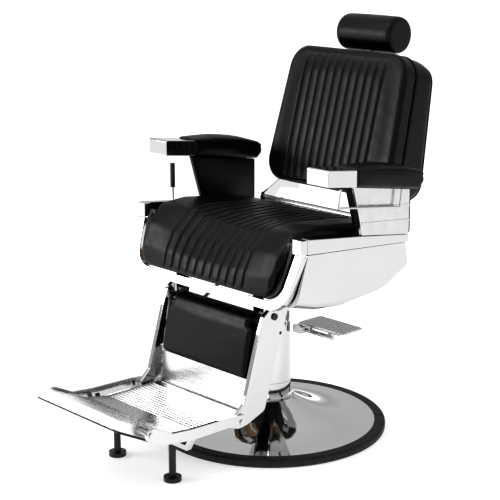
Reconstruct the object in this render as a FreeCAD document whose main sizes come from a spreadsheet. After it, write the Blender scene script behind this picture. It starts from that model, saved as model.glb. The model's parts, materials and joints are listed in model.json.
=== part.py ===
import FreeCAD, Part
import os
import re
import Sketcher

# Hydraulic barber chair, in millimetres. The origin is the centre of the base on the floor, +Z is up,
# the sitter looks along -Y and the sitter's left hand is on +X. Every side outline is given as
# (y, z) corners, and an optional third number rounds that corner.

SIZES = {
    # Floor base and column
    "base_radius": 350, "ring_width": 32, "ring_height": 25, "ring_round": 8,
    "rim_radius": 317.5, "rim_height": 24, "neck_radius": 68, "neck_height": 98, "dish_wall": 2.5,
    "bend_across": 0.62, "bend_up": 0.33,
    "plate_radius": 262, "plate_thick": 10, "tube_low": 4, "hub_radius": 62, "hub_top": 88,
    "bolt_circle": 214, "bolt_head": 9, "bolt_head_high": 6,
    "collar_radius": 73, "collar_low": 98, "collar_high": 113, "collar_lip": 5, "collar_waist": 8,
    "collar_draft": 2,
    "column_radius": 63, "sleeve_bore": 57.5, "sleeve_low": 88.5, "seam_height": 147, "seam_gap": 1,
    "tube_radius": 55, "tube_bore": 45, "tube_top": 330, "bush_length": 30,
    "ram_radius": 25, "ram_low": 120, "ram_top": 430, "piston_length": 22, "seal_length": 5,
    "seal_inset": 0.1, "spindle_radius": 15, "spindle_gap": 1, "running_gap": 0.05,
    "washer_radius": 40, "washer_thick": 6, "washer_gap": 0.4,
    # Seat underframe
    "seat_base": 462, "seat_plate_thick": 8, "seat_plate_side": 250,
    "rail_gap": 100, "rail_width": 30, "rail_length": 380, "rail_tall": 24,
    "cross_depth": 30, "cross_tall": 20, "cross_front": -180, "cross_middle": -70,
    # Seat sides: outer faces, the polished top rail and the hollow side panel
    "seat_half": 345.7, "rail_thick": 28, "panel_deep": 31, "panel_wall": 3, "panel_round": 28,
    "panel_open": 5,
    # Front band, in its own leaning plane
    "band_front": -217, "band_top": 626, "band_lean": -19.6, "band_thick": 20, "band_tall": 163.5,
    "band_foot": 325, "band_strip": 24.5, "band_inner": 317, "band_inner_foot": 300,
    "band_round": 72, "band_inner_round": 56,
    "cap_inner": 311, "metal_edge": 2, "thin_edge": 1.2,
    # Seat and armrests
    "board_half": 306, "cushion_half": 309, "cushion_foot": 293, "cushion_drop": 135, "cushion_rise": 200,
    "cushion_round": 50, "cushion_deep": 900, "ridge_sunk": 1,
    "support_inner": 331, "support_outer": 345, "ridge_proud": 2.5, "vinyl_inner": 315, "vinyl_outer": 330.7,
    "arm_inner": 292, "arm_outer": 372, "pad_proud": 2,
    "bar_side": 360, "bar_radius": 3,
    # Pump pedal
    "pedal_y": 58, "pedal_z": 306, "pedal_pivot": 84, "pedal_pin": 5, "pedal_boss": 11, "pedal_boss_wide": 14,
    "pedal_reach": 122, "pedal_rod": 6.5, "pedal_gap": 0.4, "post_wide": 14, "post_near": 28, "post_far": 106,
    "web_back": 8, "web_wide": 14, "tread_round": 14, "tread_inset": 8, "tread_edge": 4,
    "tread_x": 66, "tread_long": 180, "tread_y": 48, "tread_wide": 98,
    "tread_z": 322, "tread_thick": 4, "tread_rib": 2.5, "tread_rib_wide": 5, "tread_rib_step": 10.6,
    "lug_thick": 8, "lug_inner": 62,
    # Recline lever on the right side
    "lever_y": -74, "lever_z": 602, "lever_face": 350.6, "lever_thick": 8, "lever_hub": 12, "lever_pin": 6,
    "lever_gap": 0.3, "pin_proud": 2, "stem_radius": 3.4, "stem_in_grip": 10, "lever_top": 692,
    "grip_radius": 7.5, "grip_length": 74,
    # Back, turned about its pivot
    "back_pivot_y": 205, "back_pivot_z": 637, "recline": 15.3, "shaft_radius": 10, "shaft_half": 247,
    "back_front": -12, "back_low": 66, "back_high": 490, "back_top_half": 236, "back_low_half": 259,
    "back_round": 68, "cushion_thick": 58, "shell_gap": 0.4, "shell_top": 60, "shell_shoulder": 84,
    "shoulder_drop": 30, "shell_foot": 117, "shell_corner": 22, "shell_deep": 140,
    "slot_half": 23, "slot_thick": 15, "slot_deep": 215,
    "bracket_inner": 222, "bracket_thick": 8,
    "plate_inner": 232, "pivot_thick": 8, "pivot_foot_y": 190, "pivot_foot_long": 30,
    "pivot_foot_z": 600, "pivot_foot_thick": 8,
    "swing_lever_x": 157, "swing_lever_thick": 7, "pin_into_lever": 1,
    # Headrest, along the back's own slope
    "post_w": 76, "post_low": 285, "post_half": 19, "post_thick": 8, "roll_radius": 56, "roll_half": 108,
    "roll_w": 88, "roll_u": 558, "axle_radius": 10, "axle_inset": 10, "axle_float": 1,
    "eye_radius": 17, "eye_half": 18,
    "notch_half": 22, "notch_front": 34, "notch_back": 20, "notch_top": 20, "notch_low": 60,
    "socket_half": 34, "socket_deep": 26, "socket_thick": 4, "socket_gap": 0.6,
    # Link between back and leg rest
    "link_x": 150, "link_radius": 6, "link_eye": 10, "link_eye_half": 4, "link_pin": 5,
    "link_free": 0.4, "link_down": 52, "link_behind": 24,
    # Leg rest
    "leg_pivot_y": -190, "leg_pivot_z": 425, "leg_pin": 9.9, "leg_inner": 198, "leg_outer": 212,
    "hang_inner": 186, "hang_outer": 196, "knob_radius": 16, "knob_inner": 166, "knob_gap": 1,
    "pin_end": 4, "spacer_long": 30, "spacer_deep": 24, "spacer_tall": 20, "spacer_x": 90, "spacer_back": 31,
    "corner_low": 397, "corner_tall": 50, "corner_front": -270, "corner_deep": 80,
    "leg_half": 181, "leg_top_half": 162, "leg_tube_y": -190, "leg_tube_z": 300, "leg_tube_radius": 12,
    # Foot frame and flip plate
    "foot_pivot_y": -323, "foot_pivot_z": 152, "foot_pin": 8, "foot_inner": 212.6, "foot_outer": 222.6,
    "flip_y": -643.5, "flip_z": 201.7, "flip_pin": 7, "plate_half": 190,
    "flange_wall": 3, "rib_tall": 2, "rib_deep": 5, "rib_first": -306, "rib_step": 12, "rib_z": 157.6,
    "rib_half": 176, "pad_half": 180,
    "kick_y": -490, "kick_x": 122, "kick_bar_z": 116, "kick_radius": 8, "post_radius": 10, "foot_radius": 25,
    "foot_high": 12, "post_sunk": 2, "kick_shoulder": 192, "kick_end_z": 156, "kick_bevel": 6, "kick_flat": 1,
}

TREAD_RIBS = 9
PLATE_RIBS = 14
BASE_BOLTS = 6
BODY_SIDES = (("left", 1), ("right", -1))

# An edge counts as being at a place when it is this near to it. The side panel's rolled edges lie below
# LOWER_EDGE_TOP and are longer than LOWER_EDGE_LENGTH.
NEAR = 0.01
LOWER_EDGE_TOP = 505
LOWER_EDGE_LENGTH = 30

OUTLINES = {
    "panel": [(-196, 625), (219, 594), (240, 520, 24), (124, 466, 150), (-44, 452, 150), (-150, 461),
              (-240, 484)],
    "panel_hollow": [(-194, 622), (216, 591), (236.5, 522, 21), (123, 469.2, 147), (-44, 455, 147),
                     (-148, 464), (-235, 486.5)],
    "side_rail": [(-197, 626), (-197, 668, 5), (13, 643.5), (219, 616, 8), (216, 594.5)],
    "corner_cap": [(-222, 627), (-222, 668), (-198, 668), (-198, 627)],
    "board": [(-196, 606), (-196, 621), (120, 596.5), (120, 581.5)],
    "cushion": [(178, 630), (172, 641, 8), (60, 662), (-95, 679, 60), (-182, 673, 40), (-236, 626, 60),
                (-264, 560, 40), (-272, 500), (-238, 490), (-214, 560), (-206, 606), (-202, 622), (140, 598)],
    "support": [(20, 644), (-20, 786.5), (217, 749.5), (217, 617)],
    "vinyl": [(14, 649), (-29, 787.5), (240, 746.5), (240, 615)],
    "ridge_high": [(1, 722), (-0.5, 728), (215, 706), (215, 700)],
    "ridge_low": [(13, 676), (11.5, 682), (215, 662), (215, 656)],
    "arm_cap": [(-150, 806), (-150, 852, 6), (-37, 838.5), (-37, 791.5)],
    "arm_pad": [(-36.5, 791.5), (-36.5, 843, 6), (60, 836), (170, 820), (242, 804, 20), (253, 771, 12),
                (230, 749.3)],
    "bracket": [(186, 655, 8), (208, 614, 10), (262, 664), (345, 648), (345, 667), (258, 690.8)],
    "pivot_plate": [(192, 656, 6), (218, 656, 6), (222, 600), (190, 600)],
    "swing_lever": [(188, 642, 10), (209, 653, 10), (241, 580, 9), (222, 571, 9)],
    "leg_arm": [(-231, 430, 14), (-200, 455, 10), (-132, 447, 14), (-150, 398), (-226, 158, 20), (-296, 132),
                (-336, 138, 9), (-340, 163, 9), (-304, 196), (-248, 384)],
    "hanger": [(-206, 494), (-206, 414, 8), (-172, 404, 10), (-146, 440), (-146, 494)],
    "leg_pad": [(-207, 428), (-236, 424, 18), (-250, 400), (-275, 262, 14), (-262, 252), (-232, 252)],
    "leg_panel": [(-265, 251), (-272.5, 154), (-250, 154), (-240, 251)],
    "leg_board": [(-206.5, 426), (-201, 426), (-226, 251), (-231.5, 251)],
    "foot_arm": [(-306, 138, 14), (-306, 172, 14), (-360, 177), (-503, 181), (-570, 187), (-634, 219, 14),
                 (-660, 211, 14), (-655, 187, 12), (-600, 162), (-503, 149), (-372, 148), (-335, 136)],
    "tread": [(-282, 154), (-282, 158), (-467, 158, 120), (-544, 171, 90), (-604, 196), (-728, 258),
              (-730, 254.5), (-602, 191), (-543, 167, 90), (-467, 154, 120)],
    "side_flange": [(-283, 156), (-467, 156, 120), (-544, 169, 90), (-604, 194), (-729, 256), (-740, 236, 6),
                    (-720, 224), (-605, 166), (-543, 146, 80), (-467, 134, 100), (-283, 140)],
    "tip_flange": [(-728, 257), (-730.5, 258), (-740, 236), (-736, 233)],
    "plate_pad": [(-292, 152.5), (-292, 138, 8), (-467, 131), (-540, 136, 60), (-610, 158), (-722, 216, 10),
                  (-719, 247), (-602, 188), (-543, 164, 60), (-467, 152.5)],
    "towel": [(-89, 792), (-97, 741), (157, 708), (163, 757)],
}

doc = FreeCAD.newDocument("barber_chair")
sheet = doc.addObject("Spreadsheet::Sheet", "Sizes")
parts = []


def fill_sheet():
    """One row for each driving size: its name in column A and its value, with that alias, in column B."""
    cells = dict(SIZES)
    for name, corners in OUTLINES.items():
        for index, corner in enumerate(corners):
            cells[f"{name}_across_{index}"] = corner[0]
            cells[f"{name}_up_{index}"] = corner[1]
    for row, (alias, number) in enumerate(cells.items(), start=1):
        sheet.set(f"A{row}", alias)
        sheet.set(f"B{row}", str(number))
        sheet.setAlias(f"B{row}", alias)
    doc.recompute()
    return cells


CELLS = fill_sheet()


def formula(text):
    """An expression that other objects can use: every alias gets the sheet's name in front."""
    in_sheet = lambda word: ("Sizes." if word.group() in CELLS else "") + word.group()
    return re.sub(r"[a-z]\w*", in_sheet, str(text))


def amount(text):
    """The present value of a formula."""
    return float(sheet.evalExpression(formula(text)))


def bind(item, formulas):
    for name, text in formulas.items():
        item.setExpression(name, formula(text))


def place(item, at, turn=None):
    """Puts an object at three formulas, after an optional turn of (axis, degrees formula)."""
    if turn:
        item.Placement = FreeCAD.Placement(FreeCAD.Vector(), FreeCAD.Rotation(turn[0], amount(turn[1])))
        bind(item, {"Placement.Rotation.Angle": turn[1]})
    bind(item, {"Placement.Base." + axis: text for axis, text in zip("xyz", at)})
    return item


def keep(item):
    """Marks an object as a sub-part to be written."""
    parts.append(item)
    return item


ALONG_X = FreeCAD.Vector(1, 0, 0)
ALONG_Y = FreeCAD.Vector(0, 1, 0)
CYLINDER_TURNS = {"x": (ALONG_Y, 90), "y": (ALONG_X, -90), "z": None}


def cylinder(label, radius, length, at, axis="z"):
    item = doc.addObject("Part::Cylinder", label)
    bind(item, {"Radius": radius, "Height": length})
    turn = CYLINDER_TURNS[axis]
    if turn:
        item.Placement.Rotation = FreeCAD.Rotation(*turn)
    return place(item, at)


def box(label, size, at):
    item = doc.addObject("Part::Box", label)
    bind(item, dict(zip(("Length", "Width", "Height"), size)))
    return place(item, at)


def cut(label, base, tool):
    item = doc.addObject("Part::Cut", label)
    item.Base = base
    item.Tool = tool
    return item


def fuse(label, *items):
    item = doc.addObject("Part::MultiFuse", label)
    item.Shapes = items
    return item


def common(label, *items):
    item = doc.addObject("Part::MultiCommon", label)
    item.Shapes = items
    return item


def group(label, items):
    item = doc.addObject("Part::Compound", label)
    item.Links = items
    return item


def ring(label, outer, inner, low, high):
    """A plain tube about the Z axis between two heights."""
    wall = cylinder(label + "_wall", outer, f"{high} - ({low})", ("0", "0", low))
    core = cylinder(label + "_core", inner, f"{high} - ({low})", ("0", "0", low))
    return cut(label, wall, core)


def closed_sketch(body, role, points, loops=()):
    """A sketch of straight-sided loops whose corners are all bound to formulas."""
    plane = [item for item in body.Origin.OriginFeatures if item.Role == role][0]
    sketch = body.newObject("Sketcher::SketchObject", body.Label + "_outline")
    sketch.AttachmentSupport = [(plane, "")]
    sketch.MapMode = "FlatFace"
    for loop in (points, *loops):
        corners = [FreeCAD.Vector(amount(a), amount(b), 0) for a, b in loop]
        first = sketch.GeometryCount
        count = len(corners)
        for index in range(count):
            sketch.addGeometry(Part.LineSegment(corners[index], corners[(index + 1) % count]), False)
        for index in range(count):
            after = first + (index + 1) % count
            sketch.addConstraint(Sketcher.Constraint("Coincident", first + index, 2, after, 1))
        for index, pair in enumerate(loop):
            for kind, text, start in zip(("DistanceX", "DistanceY"), pair, corners[index]):
                number = sketch.addConstraint(Sketcher.Constraint(kind, -1, 1, first + index, 1, start))
                sketch.setExpression(f"Constraints[{number}]", formula(text))
    return sketch


def round_edges(body, radius, wanted):
    """Rounds the edges of the body's last feature that pass the test."""
    doc.recompute()
    base = body.Tip
    names = [f"Edge{index}" for index, edge in enumerate(base.Shape.Edges, start=1) if wanted(edge)]
    fillet = body.newObject("PartDesign::Fillet", body.Label + "_round")
    fillet.Base = (base, names)
    bind(fillet, {"Radius": radius})
    return body


def soften(body, radius):
    """Rounds every edge of the body's last feature."""
    return round_edges(body, radius, lambda edge: True)


def corner_edge(first, second, axes):
    """A test for the straight edge that runs through one corner of an outline."""
    def wanted(edge):
        ends = [vertex.Point for vertex in edge.Vertexes]
        near = [abs(end[axes[0]] - first) + abs(end[axes[1]] - second) < NEAR for end in ends]
        return len(ends) == 2 and all(near)
    return wanted


def slab(label, name, inner, outer, side=1, shift=None):
    """The side outline called name, padded across X between two distances from the middle plane."""
    body = doc.addObject("PartDesign::Body", label)
    corners = OUTLINES[name]
    points = [(f"{name}_across_{i}", f"{name}_up_{i}") for i in range(len(corners))]
    sketch = closed_sketch(body, "YZ_Plane", points)
    start = inner if side > 0 else f"-({outer})"
    bind(sketch, {"AttachmentOffset.Base.z": start})
    pad = body.newObject("PartDesign::Pad", label + "_pad")
    pad.Profile = sketch
    bind(pad, {"Length": f"({outer}) - ({inner})"})
    for corner in corners:
        if len(corner) == 3:
            round_edges(body, corner[2], corner_edge(corner[0], corner[1], (1, 2)))
    return body


def wide_slab(label, name, half):
    """A side outline padded the same distance to both sides of the middle plane."""
    return slab(label, name, f"-({half})", half)


def turned(label, points):
    """A (radius, height) outline revolved about the Z axis."""
    body = doc.addObject("PartDesign::Body", label)
    sketch = closed_sketch(body, "XZ_Plane", points)
    spin = body.newObject("PartDesign::Revolution", label + "_spin")
    spin.Profile = sketch
    spin.ReferenceAxis = (sketch, ["V_Axis"])
    spin.Angle = 360
    return body


def round_bar(label, plane_role, path, section_role, section_at, radius):
    """A round bar swept along a straight-sided open path with rounded corners."""
    body = doc.addObject("PartDesign::Body", label)
    planes = {item.Role: item for item in body.Origin.OriginFeatures}
    spine = body.newObject("Sketcher::SketchObject", label + "_path")
    spine.AttachmentSupport = [(planes[plane_role], "")]
    spine.MapMode = "FlatFace"
    corners = [FreeCAD.Vector(amount(a), amount(b), 0) for a, b in path]
    for index in range(len(corners) - 1):
        spine.addGeometry(Part.LineSegment(corners[index], corners[index + 1]), False)
    for index in range(len(corners) - 2):
        spine.addConstraint(Sketcher.Constraint("Coincident", index, 2, index + 1, 1))
    for index, pair in enumerate(path):
        line, end = (index, 1) if index < len(corners) - 1 else (index - 1, 2)
        for kind, text, start in zip(("DistanceX", "DistanceY"), pair, corners[index]):
            number = spine.addConstraint(Sketcher.Constraint(kind, -1, 1, line, end, start))
            spine.setExpression(f"Constraints[{number}]", formula(text))
    section = body.newObject("Sketcher::SketchObject", label + "_section")
    section.AttachmentSupport = [(planes[section_role], "")]
    section.MapMode = "FlatFace"
    centre = FreeCAD.Vector(amount(section_at[0]), amount(section_at[1]), 0)
    section.addGeometry(Part.Circle(centre, FreeCAD.Vector(0, 0, 1), amount(radius)), False)
    for kind, text, start in zip(("DistanceX", "DistanceY"), section_at, centre):
        number = section.addConstraint(Sketcher.Constraint(kind, -1, 1, 0, 3, start))
        section.setExpression(f"Constraints[{number}]", formula(text))
    number = section.addConstraint(Sketcher.Constraint("Radius", 0, amount(radius)))
    section.setExpression(f"Constraints[{number}]", formula(radius))
    pipe = body.newObject("PartDesign::AdditivePipe", label + "_pipe")
    pipe.Profile = section
    pipe.Spine = spine
    pipe.Transition = "Round corner"
    return body, spine, section


# ---- Floor base and hydraulic column ----------------------------------------------------------

def make_base():
    ring_in = "base_radius - ring_width"
    rubber = turned("base_ring", [(ring_in, "0"), ("base_radius", "0"), ("base_radius", "ring_height"),
                                  (ring_in, "ring_height")])
    for height in ("0", "ring_height"):
        round_edges(rubber, "ring_round", outer_circle(amount("base_radius"), amount(height)))
    keep(rubber)
    keep(dish())
    disc = cylinder("plate_disc", "plate_radius", "plate_thick", ("0", "0", "0"))
    hub = cylinder("plate_hub", "hub_radius", "hub_top", ("0", "0", "0"))
    bore = cylinder("plate_bore", "tube_radius", "hub_top", ("0", "0", "tube_low"))
    keep(cut("base_plate", fuse("plate_solid", disc, hub), bore))
    collar = turned("column_collar", [("column_radius", "collar_low"), ("collar_radius", "collar_low"),
                                      ("collar_radius", "collar_low + collar_lip"),
                                      ("collar_radius - collar_draft", "collar_low + collar_waist"),
                                      ("collar_radius - 2 * collar_draft", "collar_high"),
                                      ("column_radius", "collar_high")])
    keep(collar)
    keep(ring("lower_sleeve", "column_radius", "sleeve_bore", "sleeve_low", "seam_height"))
    keep(ring("cylinder_tube", "tube_radius", "tube_bore", "tube_low", "tube_top"))
    keep(ring("guide_bush", "tube_bore", "ram_radius + running_gap", "tube_top - bush_length", "tube_top"))
    keep(group("base_bolts", [bolt(index) for index in range(BASE_BOLTS)]))


def outer_circle(radius, height):
    """A test for the circular edge of one radius at one height."""
    def wanted(edge):
        curve = edge.Curve
        if not isinstance(curve, Part.Circle):
            return False
        return abs(curve.Radius - radius) < NEAR and abs(curve.Center.z - height) < NEAR
    return wanted


def dish():
    """The pressed dish: a thin trumpet whose slope grows from the rim to the column."""
    rim = (amount("rim_radius"), amount("rim_height"))
    neck = (amount("neck_radius"), amount("neck_height"))
    bend = FreeCAD.Vector(rim[0] + (neck[0] - rim[0]) * amount("bend_across"), 0,
                          rim[1] + (neck[1] - rim[1]) * amount("bend_up"))
    wall = amount("dish_wall")

    def curve(drop):
        ends = [FreeCAD.Vector(radius, 0, height - drop) for radius, height in (rim, neck)]
        return Part.Arc(ends[0], bend - FreeCAD.Vector(0, 0, drop), ends[1]).toShape()

    top, under = curve(0), curve(wall)
    sides = [Part.makeLine(top.Vertexes[i].Point, under.Vertexes[i].Point) for i in (0, 1)]
    face = Part.Face(Part.Wire(Part.__sortEdges__([top, under, *sides])))
    item = doc.addObject("Part::Feature", "base_dish")
    item.Shape = face.revolve(FreeCAD.Vector(), FreeCAD.Vector(0, 0, 1), 360)
    return item


def bolt(index):
    """One hexagon bolt head on the floor plate."""
    angle = f"{index} * 360 / {BASE_BOLTS}"
    at = (f"bolt_circle * cos({angle})", f"bolt_circle * sin({angle})")
    head = doc.addObject("Part::Prism", f"bolt_head_{index}")
    head.Polygon = 6
    bind(head, {"Circumradius": "bolt_head", "Height": "bolt_head_high"})
    place(head, (*at, "plate_thick"))
    return head


def make_lift():
    shaft = cylinder("ram_shaft", "ram_radius", "ram_top - ram_low", ("0", "0", "ram_low"))
    spindle = cylinder("ram_spindle", "spindle_radius", "seat_base - spindle_gap - ram_top",
                       ("0", "0", "ram_top"))
    keep(fuse("lift_ram", shaft, spindle))
    keep(ring("ram_piston", "tube_bore - running_gap", "ram_radius", "ram_low", "ram_low + piston_length"))
    keep(ring("piston_seal", "tube_bore - seal_inset", "ram_radius", "ram_low + piston_length",
              "ram_low + piston_length + seal_length"))
    keep(ring("swivel_washer", "washer_radius", "spindle_radius", "ram_top", "ram_top + washer_thick"))


# ---- Seat chassis -----------------------------------------------------------------------------

def make_chassis():
    hub_low = "ram_top + washer_thick + washer_gap"
    keep(ring("upper_sleeve", "column_radius", "sleeve_bore", "seam_height + seam_gap", hub_low))
    keep(ring("swivel_hub", "column_radius", "spindle_radius + running_gap", hub_low, "seat_base"))
    keep(box("seat_plate", ("seat_plate_side", "seat_plate_side", "seat_plate_thick"),
             ("-seat_plate_side / 2", "-seat_plate_side / 2", "seat_base")))
    deck = "seat_base + seat_plate_thick"
    rails = [box(f"under_rail_{name}", ("rail_width", "rail_length", "rail_tall"),
                 (start, "-rail_length / 2", deck)) for name, start in
             (("left", "rail_gap"), ("right", "-rail_gap - rail_width"))]
    keep(group("under_rails", rails))
    span = "seat_half - panel_deep"
    crosses = [box(f"cross_rail_{name}", (f"2 * ({span})", "cross_depth", "cross_tall"),
                   (f"-({span})", start, f"{deck} + rail_tall")) for name, start in
               (("front", "cross_front"), ("middle", "cross_middle"))]
    keep(group("cross_rails", crosses))
    keep(wide_slab("seat_board", "board", "board_half"))
    keep(common("seat_cushion", wide_slab("cushion_side_shape", "cushion", "cushion_half"), cushion_window()))
    for name, side in BODY_SIDES:
        keep(side_panel(name, side))
    rails = []
    caps = []
    for name, side in BODY_SIDES:
        rail = slab(f"side_rail_{name}", "side_rail", "seat_half - rail_thick", "seat_half", side)
        rails.append(soften(rail, "metal_edge"))
        cap = slab(f"corner_cap_{name}", "corner_cap", "cap_inner", "seat_half", side)
        caps.append(soften(cap, "metal_edge"))
    keep(group("side_rails", rails))
    keep(soften(front_band(), "metal_edge"))
    keep(group("corner_caps", caps))


def side_panel(name, side):
    """A pressed side panel: open towards the seat, with its lower edge rolled inwards."""
    inner = "seat_half - panel_deep"
    outside = slab(f"panel_outside_{name}", "panel", inner, "seat_half", side)
    face = side * amount("seat_half")
    round_edges(outside, "panel_round", lower_edges(face))
    hollow_face = side * amount("seat_half - panel_wall")
    hollow = slab(f"panel_hollow_{name}", "panel_hollow", f"{inner} - panel_open", "seat_half - panel_wall",
                  side)
    round_edges(hollow, "panel_round - panel_wall", lower_edges(hollow_face))
    return cut(f"side_panel_{name}", outside, hollow)


def lower_edges(face):
    """A test for the long lower edges of a side panel's outer face."""
    def wanted(edge):
        middle = edge.CenterOfMass
        flat = all(abs(vertex.Point.x - face) < NEAR for vertex in edge.Vertexes)
        return flat and middle.z < LOWER_EDGE_TOP and edge.Length > LOWER_EDGE_LENGTH
    return wanted


def front_band():
    """The polished band that frames the front of the seat, drawn in its own leaning plane."""
    body = doc.addObject("PartDesign::Body", "front_band")
    strip = "-(band_tall - band_strip)"
    points = [("-seat_half", "0"), ("-band_foot", "-band_tall"), ("band_foot", "-band_tall"),
              ("seat_half", "0"), ("band_inner", "0"), ("band_inner_foot", strip),
              ("-band_inner_foot", strip), ("-band_inner", "0")]
    sketch = closed_sketch(body, "XZ_Plane", points)
    pad = body.newObject("PartDesign::Pad", "front_band_pad")
    pad.Profile = sketch
    pad.Reversed = True
    bind(pad, {"Length": "band_thick"})
    for across, up, radius in (("band_foot", "-band_tall", "band_round"),
                               ("band_inner_foot", strip, "band_inner_round")):
        for side in (1, -1):
            round_edges(body, radius, corner_edge(side * amount(across), amount(up), (0, 2)))
    return place(body, ("0", "band_front", "band_top"), (ALONG_X, "band_lean"))


def cushion_window():
    """The cushion's outline inside the band, carried right through it square to the band."""
    body = doc.addObject("PartDesign::Body", "cushion_window")
    points = [("-cushion_half", "cushion_rise"), ("-cushion_half", "0"), ("-cushion_foot", "-cushion_drop"),
              ("cushion_foot", "-cushion_drop"), ("cushion_half", "0"), ("cushion_half", "cushion_rise")]
    sketch = closed_sketch(body, "XZ_Plane", points)
    pad = body.newObject("PartDesign::Pad", "cushion_window_pad")
    pad.Profile = sketch
    pad.Midplane = True
    bind(pad, {"Length": "cushion_deep"})
    for side in (1, -1):
        foot = corner_edge(side * amount("cushion_foot"), -amount("cushion_drop"), (0, 2))
        round_edges(body, "cushion_round", foot)
    return place(body, ("0", "band_front", "band_top"), (ALONG_X, "band_lean"))


def make_arms():
    supports = []
    caps = []
    for name, side in BODY_SIDES:
        casting = soften(slab(f"support_casting_{name}", "support", "support_inner", "support_outer", side),
                         "metal_edge")
        proud = "support_outer + ridge_proud"
        ridges = [slab(f"{ridge}_{name}", ridge, "support_outer - ridge_sunk", proud, side)
                  for ridge in ("ridge_high", "ridge_low")]
        supports.append(fuse(f"arm_support_{name}", casting, *ridges))
        caps.append(soften(slab(f"arm_cap_{name}", "arm_cap", "arm_inner", "arm_outer", side), "metal_edge"))
        keep(slab(f"arm_pad_{name}", "arm_pad", "arm_inner - pad_proud", "arm_outer + pad_proud", side))
    keep(group("arm_supports", supports))
    keep(group("arm_caps", caps))
    keep(group("arm_panels", [slab(f"arm_panel_{name}", "vinyl", "vinyl_inner", "vinyl_outer", side)
                              for name, side in BODY_SIDES]))
    path = [(f"towel_across_{i}", f"towel_up_{i}") for i in range(len(OUTLINES["towel"]))]
    bar, spine, section = round_bar("towel_bar", "YZ_Plane", path, "XY_Plane", ("bar_side", "towel_across_0"),
                                    "bar_radius")
    bind(spine, {"AttachmentOffset.Base.z": "bar_side"})
    bind(section, {"AttachmentOffset.Base.z": "towel_up_0"})
    keep(bar)


# ---- Pump pedal and recline lever -------------------------------------------------------------

def make_pedal():
    lug_start = "pedal_y - pedal_boss_wide / 2 - lug_thick - pedal_gap"
    lug_far = "pedal_y + pedal_boss_wide / 2 + pedal_gap"
    lug_span = "pedal_boss_wide + 2 * lug_thick + 2 * pedal_gap"
    boss_start = "pedal_y - pedal_boss_wide / 2"
    lugs = []
    for name, start in (("front", lug_start), ("back", lug_far)):
        cheek = box(f"lug_cheek_{name}", ("pedal_pivot - lug_inner", "lug_thick", "2 * pedal_boss"),
                    ("lug_inner", start, "pedal_z - pedal_boss"))
        tip = cylinder(f"lug_tip_{name}", "pedal_boss", "lug_thick", ("pedal_pivot", start, "pedal_z"), "y")
        lugs.extend([cheek, tip])
    web = box("lug_web", ("web_wide", lug_span, "2 * pedal_boss"),
              ("lug_inner - web_back", lug_start, "pedal_z - pedal_boss"))
    pin = cylinder("pedal_pin", "pedal_pin", lug_span, ("pedal_pivot", lug_start, "pedal_z"), "y")
    solid = fuse("pedal_bracket_solid", *lugs, web, pin)
    column = cylinder("bracket_column", "column_radius", "4 * pedal_boss",
                      ("0", "0", "pedal_z - 2 * pedal_boss"))
    keep(cut("pedal_bracket", solid, column))
    boss = cylinder("arm_boss", "pedal_boss", "pedal_boss_wide", ("pedal_pivot", boss_start, "pedal_z"), "y")
    bore = cylinder("arm_bore", "pedal_pin + running_gap", "pedal_boss_wide",
                    ("pedal_pivot", boss_start, "pedal_z"), "y")
    rod = cylinder("arm_rod", "pedal_rod", "pedal_reach", ("pedal_pivot", "pedal_y", "pedal_z"), "x")
    posts = [box(f"arm_post_{index}", ("post_wide", "pedal_boss_wide", "tread_z - pedal_z"),
                 (f"pedal_pivot + {reach}", boss_start, "pedal_z"))
             for index, reach in enumerate(("post_near", "post_far"))]
    keep(cut("pedal_arm", fuse("arm_solid", boss, rod, *posts), bore))
    keep(pedal_tread())


def pedal_tread():
    """The foot plate of the pedal, ribbed along its length."""
    body = doc.addObject("PartDesign::Body", "pedal_tread")
    near, far = "tread_y", "tread_y + tread_wide"
    start, end = "tread_x", "tread_x + tread_long"
    sketch = closed_sketch(body, "XY_Plane", [(start, near), (end, near), (end, far), (start, far)])
    bind(sketch, {"AttachmentOffset.Base.z": "tread_z"})
    pad = body.newObject("PartDesign::Pad", "pedal_tread_pad")
    pad.Profile = sketch
    bind(pad, {"Length": "tread_thick"})
    for across in (start, end):
        for up in (near, far):
            round_edges(body, "tread_round", corner_edge(amount(across), amount(up), (0, 1)))
    rib_start, rib_end = f"{start} + tread_inset", f"{end} - tread_inset"
    rib_near, rib_far = f"{near} + tread_edge", f"{near} + tread_edge + tread_rib_wide"
    rib_corners = [(rib_start, rib_near), (rib_end, rib_near), (rib_end, rib_far), (rib_start, rib_far)]
    rib_sketch = closed_sketch(body, "XY_Plane", rib_corners)
    bind(rib_sketch, {"AttachmentOffset.Base.z": "tread_z + tread_thick"})
    rib = body.newObject("PartDesign::Pad", "pedal_tread_rib")
    rib.Profile = rib_sketch
    bind(rib, {"Length": "tread_rib"})
    return repeat(body, rib, rib_sketch, "V_Axis", f"tread_rib_step * {TREAD_RIBS - 1}", TREAD_RIBS)


def repeat(body, feature, sketch, axis, length, count):
    """A row of copies of one feature along one of its sketch's axes."""
    row = body.newObject("PartDesign::LinearPattern", feature.Label + "_row")
    row.Originals = [feature]
    row.Direction = (sketch, [axis])
    row.Occurrences = count
    bind(row, {"Length": length})
    body.Tip = row
    return body


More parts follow.
